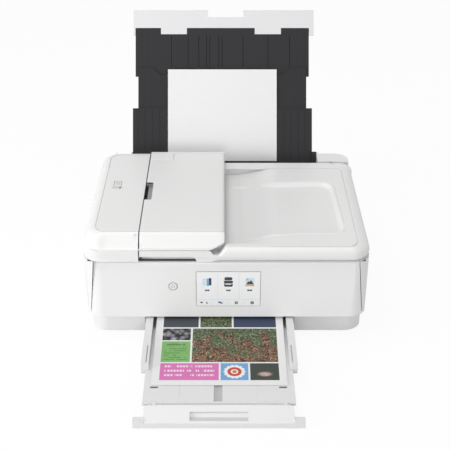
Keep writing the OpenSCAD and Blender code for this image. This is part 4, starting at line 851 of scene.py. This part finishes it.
# Rows lie closer together where the basin's ends and the tick are
share = np.unique(np.concatenate([
    np.linspace(0.0, 1.0, 190), np.linspace(0.13, 0.16, 14), np.linspace(0.78, 0.86, 30),
    0.4972 + np.linspace(-0.009, 0.009, 15)]))
columns = inner_front[None] + share[:, None, None] * (inner_rear - inner_front)[None]
bed_rows = np.concatenate([columns, bed_field(columns[..., 0], columns[..., 1])[..., None]], -1)
# The rear wall stands a little under the rim, as deep as the bed is low there
x, y, z = bed_rows[-1].T
hollow = 6.0 * ease(0.5, 5.0, RIM_Z - z)
ceiling = np.maximum(z, RIM_Z - 1.4)
wall_rows = [np.column_stack([x, y + push, np.broadcast_to(height, len(x))])
             for push, height in ((hollow, z), (hollow, ceiling), (0.0, ceiling), (0.0, RIM_Z))]
bed_rows = np.concatenate([bed_rows, wall_rows])
net("document_cover_bed", bed_rows, "lid", cover_white, sharp=50.0)
print("edge rows:", len(rows), "bed net:", bed_rows.shape[:2])

SKIN_FROM = SIDE_TOP + 0.02


def lid_top(centre, normal):
    """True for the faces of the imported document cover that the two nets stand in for."""
    x, y, z = centre
    if z < SKIN_FROM:
        upright = abs(normal.z) < 0.2 and x > BED_LEFT and y < REAR_FROM
        corner_x, corner_y = COVER_RIGHT - FRONT_RADIUS, COVER_FRONT + FRONT_RADIUS
        past_corner = x > corner_x and y < corner_y and math.hypot(x - corner_x, y - corner_y) > 28.5
        return bool(upright and (y < -182.0 or x > 233.0 or past_corner))
    if x < -21.0 or z > 173.0:
        return False
    return bool(normal.z > 0.02 or (abs(normal.y) > 0.9 and 90.0 < y < 112.0)
                or (y > 139.0 and normal.y > 0.2 and z > 165.4))


softened("document_cover", 0.4, drop=lid_top,
         cuts=[("x", BED_LEFT), ("z", SKIN_FROM), ("z", REAR_LOW - 0.5), ("y", REAR_FROM)])

# %% The dark strip under the cover's front, as painted shade
def bar(ends, middle, sides):
    """The rows of a closed bar along x; middle and sides are its section's, in y and z."""
    cap = np.tile(middle, (len(sides), 1))
    return np.stack([np.column_stack([np.full(len(sides), x), way])
                     for x, way in zip(np.repeat(ends, 2), (cap, sides, sides, cap))])


# Painted shade: a thin dark rubber strip under the cover's front stands for the shadow in the gap between
# the cover and the panel
GAP_SHADE_SIDES = ((-178.3, 145.45), (-178.3, 146.4), (-172.5, 146.4), (-172.5, 145.45), (-178.3, 145.45))
net("cover_gap_shade", bar((-226.0, 226.0), (-175.0, 146.0), GAP_SHADE_SIDES), "lid", gap_painted_shade,
    closed=True)
print("seal points:", len(GAP_SHADE_SIDES))

# %% The strip under the feeder's front
STRIP_Y = (-183.0, -180.3)
strip_way = np.concatenate([
    [[-141.0, 156.2], [-59.0, 156.2]], arc((-58.0, 147.0), 9.3, 90, 0, 8)[1:],
    [[-48.1, 146.6], [-48.1, 153.2], [-26.6, 153.2], [-26.6, 157.05], [-14.0, 157.05], [-14.0, 158.3]],
    arc((-31.0, 158.5), 8.6, 90, 12, 9)[::-1], [[-141.0, 167.1]]])
count = len(strip_way)
faces = [tuple(range(count)), tuple(range(2 * count - 1, count - 1, -1))]
faces += [(i, i + count, (i + 1) % count + count, (i + 1) % count) for i in range(count)]
strip = new_mesh("front_strip", [(x, y, z) for y in STRIP_Y for x, z in strip_way], faces)
belongs(new_object("front_strip", strip), "lid", cover_white)
print("strip points:", count)

# %% [markdown]
# ## The output support's face
#
# The support that folds down at the front of the tray shows one smooth slope from the hinge to the foot
# bar, with a finger pocket in its middle. The slope is a net of a side profile carried along the width,
# less the pocket's mouth, and the pocket is a second net from the mouth down to its floor.

# %% The slope and its pocket
FACE_LEFT, FACE_RIGHT, FACE_TOP, FACE_FOOT = -123.5, 100.5, (-400.0, 23.6), (-419.2, 13.6)
MOUTH_LEFT, MOUTH_RIGHT, MOUTH_REAR, MOUTH_FRONT = -55.0, 32.0, -405.5, -418.6
POCKET_Z = 13.4


def slope_z(y):
    """Height of the slope."""
    return np.interp(-y, [-FACE_TOP[0], -FACE_FOOT[0]], [FACE_TOP[1], FACE_FOOT[1]])


face_y = np.array([-398.3, FACE_TOP[0], MOUTH_REAR, -412.0, MOUTH_FRONT, FACE_FOOT[0], -420.5, -420.95,
                   -420.95])
face_z = slope_z(face_y)
face_z[0], face_z[-3:] = 25.2, (12.2, 10.6, 3.0)
face_x = np.concatenate([[FACE_LEFT, FACE_LEFT + 0.3], np.linspace(-120.0, MOUTH_LEFT, 8),
                         np.linspace(-50.0, 27.0, 8), np.linspace(MOUTH_RIGHT, 97.0, 8),
                         [FACE_RIGHT - 0.3, FACE_RIGHT]])
grid_x, grid_y = np.meshgrid(face_x, face_y)
grid_z = np.repeat(face_z[:, None], len(face_x), axis=1)
for end in (0, -1):
    grid_z[:, end] = np.where(face_y < -411.0, np.maximum(face_z, 15.6), face_z)
face_rows = np.stack([grid_x, grid_y, grid_z], -1)
x, y, _ = face_centres(face_rows)
net("support_face", face_rows, "flap", tray_white, wall=1.0,
    keep=~((x > MOUTH_LEFT) & (x < MOUTH_RIGHT) & (y < MOUTH_REAR) & (y > MOUTH_FRONT)))

loop = np.concatenate([arc((x, y), 1.0, start, start + 90, 5) for x, y, start in (
    (MOUTH_LEFT + 1, MOUTH_FRONT + 1, 180), (MOUTH_RIGHT - 1, MOUTH_FRONT + 1, 270),
    (MOUTH_RIGHT - 1, MOUTH_REAR - 1, 0), (MOUTH_LEFT + 1, MOUTH_REAR - 1, 90))])
loop = np.concatenate([loop, loop[:1]])
floor_in = np.column_stack([np.clip(loop[:, 0], MOUTH_LEFT + 0.7, MOUTH_RIGHT - 0.7),
                            np.clip(loop[:, 1], MOUTH_FRONT + 0.4, MOUTH_REAR - 0.7)])
hub = np.tile([[0.5 * (MOUTH_LEFT + MOUTH_RIGHT), -412.0]], (len(loop), 1))
rim_z = slope_z(loop[:, 1])
mouth_rows = np.stack([raised(loop, rim_z), raised(loop, np.minimum(rim_z, POCKET_Z + 0.7)),
                       raised(floor_in, POCKET_Z), raised(hub, POCKET_Z)])
# The pocket's darker grey is painted shade for its shadowed walls and floor
net("support_pocket", mouth_rows, "flap", support_pocket_painted_shade)
print("support face:", face_rows.shape[:2])

# %% Flat shapes
def disc(x, y, radius, count=28):
    """A round shape."""
    return arc((x, y), radius, 0, 360, count + 1)[:-1].tolist()


def block(x0, x1, y0, y1, cut=0.0):
    """A rectangle, with its corners cut by so much."""
    if not cut:
        return [(x0, y0), (x1, y0), (x1, y1), (x0, y1)]
    return [(x0 + cut, y0), (x1 - cut, y0), (x1, y0 + cut), (x1, y1 - cut), (x1 - cut, y1), (x0 + cut, y1),
            (x0, y1 - cut), (x0, y0 + cut)]


def blocks(x, y, table):
    """Rectangles about a place, each a material, a height and what block takes."""
    return [(finish, height, block(x + x0, x + x1, y + y0, y + y1, *cut))
            for finish, height, x0, x1, y0, y1, *cut in table]


def ring(x, y, outer, inner, start=0.0, stop=360.0, count=40):
    """A ring or part of one, as one four-sided shape after another."""
    out, back = arc((x, y), outer, start, stop, count), arc((x, y), inner, start, stop, count)
    return [(out[i], out[i + 1], back[i + 1], back[i]) for i in range(count - 1)]


def flat_shapes(name, shapes, place, body):
    """Lays shapes on a face. Each shape is a material, a height over the face in mm and its outline;
    place turns a point of an outline and a height into a point in mm."""
    points, faces, uses, finishes = [], [], [], []
    for finish, height, outline in shapes:
        faces.append(tuple(range(len(points), len(points) + len(outline))))
        points += [place(x, y, height) for x, y in outline]
        if finish not in finishes:
            finishes.append(finish)
        uses.append(finishes.index(finish))
    mesh = new_mesh(name, points, faces)
    for finish in finishes:
        mesh.materials.append(finish)
    mesh.polygons.foreach_set("material_index", uses)
    return belongs(new_object(name, mesh), body)


# %% The slots' floors in painted shade
# Painted shade: dark flat shapes a hair over the floors of the two slots and of the channel, where shade
# falls
SHADE_LIFT, SLOT_FLOOR, CHANNEL_FLOOR = 0.03, 26.0, 24.05
slots = [(slot_shade, SLOT_FLOOR, block(left, left + 12.0, -356.0, -352.2)) for left in (-117.0, 80.0)]
slots.append((channel_shade, CHANNEL_FLOOR, block(-19.3, -6.5, -387.9, -350.2)))
flat_shapes("slot_floors", slots, lambda x, y, floor: (x, y, floor + SHADE_LIFT), "extension")
print("shaded floors:", len(slots))

# %% A dark strip in the rear slot, as painted shade
# Painted shade: a dark strip behind the cover's rear edge stands for the shadow in the slot's mouth
SLOT_SHADE_SIDES = ((178.0, 152.0), (178.0, 156.6), (178.9, 157.5), (180.2, 157.5), (181.0, 156.6),
              (181.0, 152.0), (178.0, 152.0))
net("slot_shade_strip", bar((-113.0, 97.0), (179.5, 154.8), SLOT_SHADE_SIDES), "housing", charcoal,
    sharp=40.0, closed=True)
print("rail points:", len(SLOT_SHADE_SIDES))

# %% [markdown]
# ## Screen, button and marks
#
# The touch screen shows three large keys over a row of four small ones. The pictures on it are flat
# shapes laid on the panel's face, a few hundredths of a millimetre apart, so that each keeps a crisp
# edge. They are plain signs: two sheets for copying, a flatbed for scanning and a hill under a sun for
# photographs. The words under them are too small to read and are drawn as bars.

# %% Places on the panel and lit colours
PANEL_FACE = 184.89
PANEL_NORMAL = (0.0, -0.99863, 0.05234)


def on_panel(x, z, height):
    """A point over the operation panel's face, at x and z."""
    y = (PANEL_NORMAL[2] * z - PANEL_FACE) / -PANEL_NORMAL[1]
    return x, y + PANEL_NORMAL[1] * height, z + PANEL_NORMAL[2] * height


def lit(name, tint, glow):
    """A colour of the lit screen, a little duller towards the screen's foot."""
    material, tree, shader = principled(name, Emission_Strength=glow, Roughness=0.25)
    rise = add_node(tree, "SeparateXYZ", {0: object_place(tree)}).outputs["Z"]
    level = add_node(tree, "MapRange", {0: rise, 1: 0.068, 2: 0.127, 3: 0.97, 4: 1.0}).outputs[0]
    colour = shaded(tree, tint, level)
    tree.links.new(colour, shader.inputs["Base Color"])
    tree.links.new(colour, shader.inputs["Emission Color"])
    return material


white = lit("screen_white", rgb(0.84, 0.85, 0.86), 0.04)
frame_grey = lit("screen_edge", rgb(0.20, 0.20, 0.21), 0.0)
thin_grey = lit("screen_line", rgb(0.62, 0.66, 0.69), 0.05)
dark = lit("screen_dark", rgb(0.055, 0.06, 0.07), 0.0)
blue = lit("screen_blue", rgb(0.18, 0.38, 0.58), 0.05)
pale = lit("screen_pale", rgb(0.55, 0.68, 0.76), 0.08)
orange = lit("screen_orange", rgb(0.75, 0.34, 0.10), 0.05)
print("materials:", len(bpy.data.materials))

# %% The picture on the touch screen
LEFT, RIGHT, LOW, HIGH = -49.4, 55.4, 61.6, 125.3
ROW, SIGNS, LABELS = 73.6, 106.4, 89.6
large, small = np.linspace(LEFT, RIGHT, 4), np.linspace(LEFT, RIGHT, 5)
shapes = [(frame_grey, 0.03, block(LEFT - 0.6, RIGHT + 0.6, LOW - 0.6, HIGH + 0.6, 1.0)),
          (white, 0.06, block(LEFT, RIGHT, LOW, HIGH, 0.8))]
shapes += [(thin_grey, 0.09, block(x - 0.25, x + 0.25, ROW, HIGH - 3.0)) for x in large[1:3]]
shapes.append((thin_grey, 0.09, block(LEFT + 1.0, RIGHT - 1.0, ROW - 0.25, ROW + 0.25)))
shapes += [(thin_grey, 0.09, block(x - 0.2, x + 0.2, LOW + 1.0, ROW)) for x in small[1:4]]

copy_x, scan_x, photo_x = 0.5 * (large[:-1] + large[1:])
# Copying: a pale sheet and a darker one in front
shapes += blocks(copy_x, SIGNS, (
    (pale, 0.10, -7.5, 1.5, -6.5, 6.5), (blue, 0.12, -0.5, 3.0, -7.0, 6.5),
    (dark, 0.12, 3.0, 7.0, -6.0, 7.5), (white, 0.14, -5.5, -2.0, 2.4, 3.4),
    (white, 0.14, -5.5, -2.0, -1.2, -0.2)))
# Scanning: the lid, the glass and the base of a flatbed
shapes += blocks(scan_x, SIGNS, (
    (dark, 0.10, -6.5, 6.5, 3.2, 9.2, 1.6), (dark, 0.10, -7.5, 7.5, -1.6, 2.6, 0.6),
    (dark, 0.10, -7.0, 7.0, -8.6, -1.6, 1.4), (white, 0.12, -5.0, 5.0, -4.6, -2.6)))
# Photographs: a framed hill under a sun
HILL = ((-5.5, -4.0), (6.5, -4.0), (2.2, 4.0), (-0.6, 0.0), (-2.6, 2.0))
shapes += blocks(photo_x, SIGNS, [(pale, 0.10, -7.0, 7.5, -6.5, 7.5)])
shapes.append((dark, 0.12, [(photo_x + x, SIGNS + y) for x, y in HILL]))
shapes += blocks(photo_x, SIGNS, [(orange, 0.14, -7.0, 7.5, -7.5, -4.5)])
shapes.append((orange, 0.14, disc(photo_x - 3.6, SIGNS + 5.0, 1.7)))
for x, width in ((copy_x, 7.0), (scan_x, 7.0), (photo_x, 8.0)):
    shapes += blocks(x, LABELS, ((dark, 0.10, -width / 2, -0.5, 0.0, 2.8),
                                 (dark, 0.10, 0.0, width / 2, 0.0, 2.8)))
# The small keys: a sound sign, a sheet, a gear and a question
mark_y = 0.5 * (LOW + ROW)
first, second, third, fourth = 0.5 * (small[:-1] + small[1:])
HORN = ((-8.0, 1.6), (-2.0, 1.6), (-5.0, -1.6))
shapes.append((dark, 0.10, [(first + x, mark_y + y) for x, y in HORN]))
shapes += blocks(first, mark_y, (
    (blue, 0.10, 2.0, 3.2, -2.2, 2.2), (dark, 0.10, 3.8, 5.0, -2.2, 1.0)))
shapes += blocks(second, mark_y, (
    (dark, 0.10, -3.6, 1.6, -0.6, 2.2), (blue, 0.12, -1.0, 3.8, -2.2, 0.6)))
shapes += [(dark, 0.10, disc(third, mark_y, 2.8, 8)), (white, 0.12, disc(third, mark_y, 1.0)),
           (dark, 0.10, disc(fourth, mark_y, 2.9))]
shapes += blocks(fourth, mark_y, [(white, 0.12, -0.4, 0.4, -0.6, 1.6)])
shapes.append((white, 0.12, disc(fourth, mark_y - 1.5, 0.5, 8)))
flat_shapes("screen_picture", shapes, on_panel, "panel")
print("shapes on the screen:", len(shapes))

# %% The button's ring and sign
BUTTON_X, BUTTON_Z, BUTTON_RISE = -88.0, 98.45, 0.5
quads = ring(BUTTON_X, BUTTON_Z, 7.1, 6.2) + ring(BUTTON_X, BUTTON_Z, 2.9, 2.35, 125, 415, 26)
shapes = [(ring_grey, BUTTON_RISE, quad) for quad in quads]
shapes += blocks(BUTTON_X, BUTTON_Z, [(ring_grey, BUTTON_RISE, -0.3, 0.3, 0.6, 3.6)])
flat_shapes("button_sign", shapes, on_panel, "button")
print("shapes on the button:", len(shapes))

# %% The sign on the feeder
SIGN_X, SIGN_Y, SIGN_LIFT = -192.0, 12.0, 0.05
# A sheet with its lines, turned towards the way it is fed, and an arrow under it
SHEET = ((-7.0, 7.0, 12.2, 13.4), (-7.0, -6.0, -6.0, 12.2), (6.0, 7.0, -6.0, 12.2), (-7.0, 7.0, -7.2, -6.0),
         (-4.0, 4.0, 5.8, 7.4), (-4.0, 4.0, 1.0, 2.6), (-8.5, 5.0, -14.0, -12.0))
ARROW = ((4.0, -17.5), (9.5, -13.0), (4.0, -8.5))
shapes = blocks(SIGN_X, SIGN_Y, [(sign_grey, SIGN_LIFT, *limits) for limits in SHEET])
shapes.append((sign_grey, SIGN_LIFT, [(SIGN_X + x, SIGN_Y + y) for x, y in ARROW]))
flat_shapes("feeder_sign", shapes, lambda x, y, lift: (x, y, FEEDER_TOP + lift), "feeder_lid")
print("shapes on the feeder:", len(shapes))

# %% [markdown]
# ## The printed page
#
# The page that has just come out carries a lively colour layout: one large picture, two smaller ones, a
# green column of small print, a pink headline and a blue field with a badge. Nothing in it can be read
# or recognised. The pictures are noise: leaves and clay for the large one, pebbles, and a pale bowl.

# %% Groups for the page
def build_field_group():
    """1 inside a rectangle, 0 outside."""
    group, given = new_group("field", Across=0.0, Along=0.0, Left=0.0, Right=1.0, Near=0.0, Far=1.0)
    spans = [product(group, maths(group, "GREATER_THAN", given[way], given[low]),
                     maths(group, "LESS_THAN", given[way], given[high]))
             for way, low, high in (("Across", "Left", "Right"), ("Along", "Near", "Far"))]
    return give(group, Mask=product(group, *spans))


def build_lines_group():
    """Bars in rows that stand for lines of words; each row has its own gaps."""
    group, given = new_group("lines of words", Across=0.0, Along=0.0, Pitch=4.0, Weight=0.45)
    row = maths(group, "DIVIDE", given["Along"], given["Pitch"])
    stripe = maths(group, "LESS_THAN", maths(group, "FRACT", row), given["Weight"])
    step = maths(group, "DIVIDE", given["Across"], given["Pitch"])
    number = product(group, maths(group, "FLOOR", row), 7.31)
    spot = add_node(group, "CombineXYZ", {0: step, 1: number}).outputs[0]
    filled = maths(group, "GREATER_THAN", noise(group, spot, 1.1, 2.0), 0.44)
    letters = maths(group, "LESS_THAN", maths(group, "FRACT", product(group, step, 2.3)), 0.74)
    return give(group, Mask=product(group, stripe, product(group, filled, letters)))


def ramp(tree, place, stops):
    """Colours by a value; each stop is a place and a colour."""
    node = add_node(tree, "ValToRGB", {0: place})
    marks = node.color_ramp.elements
    while len(marks) < len(stops):
        marks.new(0.5)
    for mark, (position, colour) in zip(marks, stops):
        mark.position = position
        mark.color = rgb(*colour)
    return node.outputs[0]


def build_pictures_group():
    """Three pictures made of noise: leaves and clay, pebbles, and a pale bowl in the dark."""
    group, given = new_group("pictures", Across=0.0, Along=0.0)
    across, along = given["Across"], given["Along"]
    spot = add_node(group, "CombineXYZ", {0: across, 1: along}).outputs[0]
    leaf = noise(group, spot, 0.32, 5.0, Distortion=1.6)
    patch = noise(group, spot, 0.045, 2.0, Distortion=0.7)
    grain = noise(group, spot, 0.16, 6.0, Distortion=2.5)
    green = ramp(group, leaf, [(0.36, (0.008, 0.012, 0.006)), (0.48, (0.045, 0.070, 0.025)),
                               (0.58, (0.15, 0.19, 0.09)), (0.72, (0.46, 0.49, 0.36))])
    clay = ramp(group, grain, [(0.40, (0.012, 0.007, 0.005)), (0.50, (0.12, 0.062, 0.034)),
                               (0.60, (0.36, 0.20, 0.11)), (0.70, (0.66, 0.47, 0.32))])
    border = maths(group, "ADD", patch, maths(group, "MULTIPLY_ADD", along, -0.0040, 0.44))
    where = add_node(group, "MapRange", {0: border, 1: 0.50, 2: 0.56}).outputs[0]
    stones = add_node(group, "TexVoronoi", {"Vector": spot, "Scale": 0.13})
    tone = add_node(group, "SeparateColor", {0: stones.outputs["Color"]}).outputs[0]
    shine = maths(group, "SUBTRACT", maths(group, "MULTIPLY_ADD", tone, 0.30, 0.16),
                  product(group, stones.outputs["Distance"], 0.42), clamp=True)
    pebbles = add_node(group, "CombineColor", {0: shine, 1: shine, 2: product(group, shine, 1.08)})
    # How far from the bowl's middle, 176 mm across and 27 mm along, in its half widths
    sideways = maths(group, "MULTIPLY_ADD", across, 1.0 / 17.0, -176.0 / 17.0)
    upwards = maths(group, "MULTIPLY_ADD", along, 1.0 / 9.0, -27.0 / 9.0)
    away = maths(group, "ADD", product(group, sideways, sideways), product(group, upwards, upwards))
    away = maths(group, "ADD", away, product(group, leaf, 0.8))
    bowl = ramp(group, away, [(0.30, (0.62, 0.50, 0.44)), (0.62, (0.40, 0.27, 0.22)),
                              (0.85, (0.10, 0.09, 0.08)), (1.0, (0.035, 0.045, 0.035))])
    return give(group, Garden=mix_colours(group, where, green, clay), Pebbles=pebbles.outputs[0], Bowl=bowl)


FIELD, LINES, PICTURES = build_field_group(), build_lines_group(), build_pictures_group()
print("node groups:", len(bpy.data.node_groups))

# %% The page's material
SHEET_LEFT, SHEET_NEAR = -116.3, -349.9
printed_paper = patterned("printed_paper", PAPER, {"Tint": grey(0.79)}, PAPER_RELIEF, Roughness=0.6)
tree = printed_paper.node_tree
where = add_node(tree, "SeparateXYZ", {0: object_place(tree)})
across = maths(tree, "MULTIPLY_ADD", where.outputs["X"], 1.0 / MM, -SHEET_LEFT)
along = maths(tree, "MULTIPLY_ADD", where.outputs["Y"], 1.0 / MM, -SHEET_NEAR)


def on_page(group, **inputs):
    """The outputs of a group that works in mm from the page's left and near edges."""
    inputs |= {"Across": across, "Along": along}
    return add_node(tree, "Group", inputs, node_tree=group).outputs


def field(left, right, near, far):
    """A field of the page, in mm from its left and near edges."""
    return on_page(FIELD, Left=left, Right=right, Near=near, Far=far)["Mask"]


def words(limits, pitch, weight, cover):
    """Lines of words in a field, which cover so much of what is under them."""
    mask = product(tree, field(*limits), on_page(LINES, Pitch=pitch, Weight=weight)["Mask"])
    return product(tree, mask, cover)


pictures = on_page(PICTURES)
FIELDS = (
    (61.0, 198.0, 57.0, 142.0, pictures["Garden"]), (12.0, 58.0, 112.0, 142.0, pictures["Pebbles"]),
    (12.0, 58.0, 57.0, 109.0, rgb(0.20, 0.44, 0.13)), (12.0, 104.0, 12.0, 54.0, rgb(0.66, 0.17, 0.44)),
    (107.0, 150.0, 12.0, 54.0, rgb(0.16, 0.36, 0.62)), (153.0, 198.0, 12.0, 54.0, pictures["Bowl"]),
    (12.0, 70.0, 145.0, 290.0, rgb(0.05, 0.06, 0.07)), (73.0, 125.0, 145.0, 290.0, pictures["Garden"]),
    (128.0, 198.0, 145.0, 290.0, rgb(0.035, 0.05, 0.10)))
layers = [(field(*limits), ink) for *limits, ink in FIELDS]
# Small dark print and its heading on the green column, a large white headline on the pink one
layers += [(words((16.0, 54.0, 62.0, 96.0), 5.6, 0.42, 0.75), rgb(0.03, 0.10, 0.03)),
           (words((20.0, 50.0, 99.0, 105.0), 5.2, 0.6, 0.9), rgb(0.02, 0.05, 0.02)),
           (words((19.0, 97.0, 18.0, 49.0), 11.0, 0.42, 0.85), rgb(0.84, 0.78, 0.82))]
# The badge: a scalloped white disc with a red ring and an orange core
BADGE_X, BADGE_Y, SCALLOPS = 128.5, 33.0, 14.0
from_x, from_y = maths(tree, "ADD", across, -BADGE_X), maths(tree, "ADD", along, -BADGE_Y)
angle = maths(tree, "ARCTAN2", from_y, from_x)
square = maths(tree, "ADD", product(tree, from_x, from_x), product(tree, from_y, from_y))
radius = maths(tree, "SQRT", square)
edge = maths(tree, "MULTIPLY_ADD", maths(tree, "COSINE", product(tree, angle, SCALLOPS)), 0.9, 16.5)
off_ring = maths(tree, "ABSOLUTE", maths(tree, "SUBTRACT", radius, 8.5))
layers += [(maths(tree, "LESS_THAN", radius, edge), grey(0.80)),
           (maths(tree, "LESS_THAN", off_ring, 2.6), rgb(0.52, 0.06, 0.03)),
           (maths(tree, "LESS_THAN", radius, 3.6), rgb(0.60, 0.20, 0.03))]
colour = tree.nodes["Group"].outputs["Colour"]
for mask, ink in layers:
    colour = mix_colours(tree, mask, colour, ink)
tree.links.new(colour, tree.nodes["Principled BSDF"].inputs["Base Color"])
paint(nodes["printed_sheet"], printed_paper)
print("layers on the page:", len(layers))

# %% [markdown]
# ## The floor and the light
#
# A white sweep and big soft lamps. The floor glows faintly to the camera, so that it meets the white
# backdrop, and still takes the printer's soft shadow.

# %% Floor and backdrop
FLOOR_HALF, AMBIENT = 6000.0, 0.62


def seen_rays(tree):
    """1 for rays that show the backdrop, straight, mirrored or through glass, and 0 for others."""
    path = add_node(tree, "LightPath").outputs
    seen = maths(tree, "MAXIMUM", path["Is Camera Ray"], path["Is Glossy Ray"])
    return maths(tree, "MAXIMUM", seen, path["Is Transmission Ray"])


corners = [(x, y, 0.0) for x, y in block(-FLOOR_HALF, FLOOR_HALF, -FLOOR_HALF, FLOOR_HALF)]
floor = new_object("floor", new_mesh("floor", corners, [(0, 1, 2, 3)]))
floor_white, tree, shader = principled("floor_white", Base_Color=grey(0.6), Roughness=0.9)
glow = add_node(tree, "Emission", {"Color": grey(1.0), "Strength": 1.06})
both = add_node(tree, "MixShader",
                {0: product(tree, seen_rays(tree), 0.86), 1: shader.outputs[0], 2: glow.outputs[0]})
tree.links.new(both.outputs[0], tree.nodes["Material Output"].inputs["Surface"])
paint(floor, floor_white)

world = bpy.data.worlds.new("studio")
bpy.context.scene.world = world
world.use_nodes = True
tree = world.node_tree
strength = maths(tree, "MULTIPLY_ADD", seen_rays(tree), 1.0 - AMBIENT, AMBIENT)
tree.links.new(strength, tree.nodes["Background"].inputs["Strength"])
tree.nodes["Background"].inputs["Color"].default_value = grey(1.0)
print("floor in mm:", 2 * FLOOR_HALF)

# %% Lamps
LAMP_AIM = Vector((0.0, 0.0, 0.1))


def softbox(name, place, size, watts):
    """A large square lamp that looks from place to the printer."""
    data = bpy.data.lights.new(name, "AREA")
    data.shape = "SQUARE"
    data.size = size
    data.energy = watts
    lamp = new_object(name, data)
    lamp.location = place
    lamp.rotation_euler = (LAMP_AIM - Vector(place)).to_track_quat("-Z", "Y").to_euler()


softbox("overhead", (-0.5, -0.3, 2.2), 0.9, 12.0)
softbox("front", (0.0, -2.8, 0.5), 0.8, 14.0)
softbox("left", (-2.2, -1.2, 0.5), 0.9, 24.0)
bpy.context.scene.view_settings.view_transform = "Standard"
print("lamps:", len(bpy.data.lights))
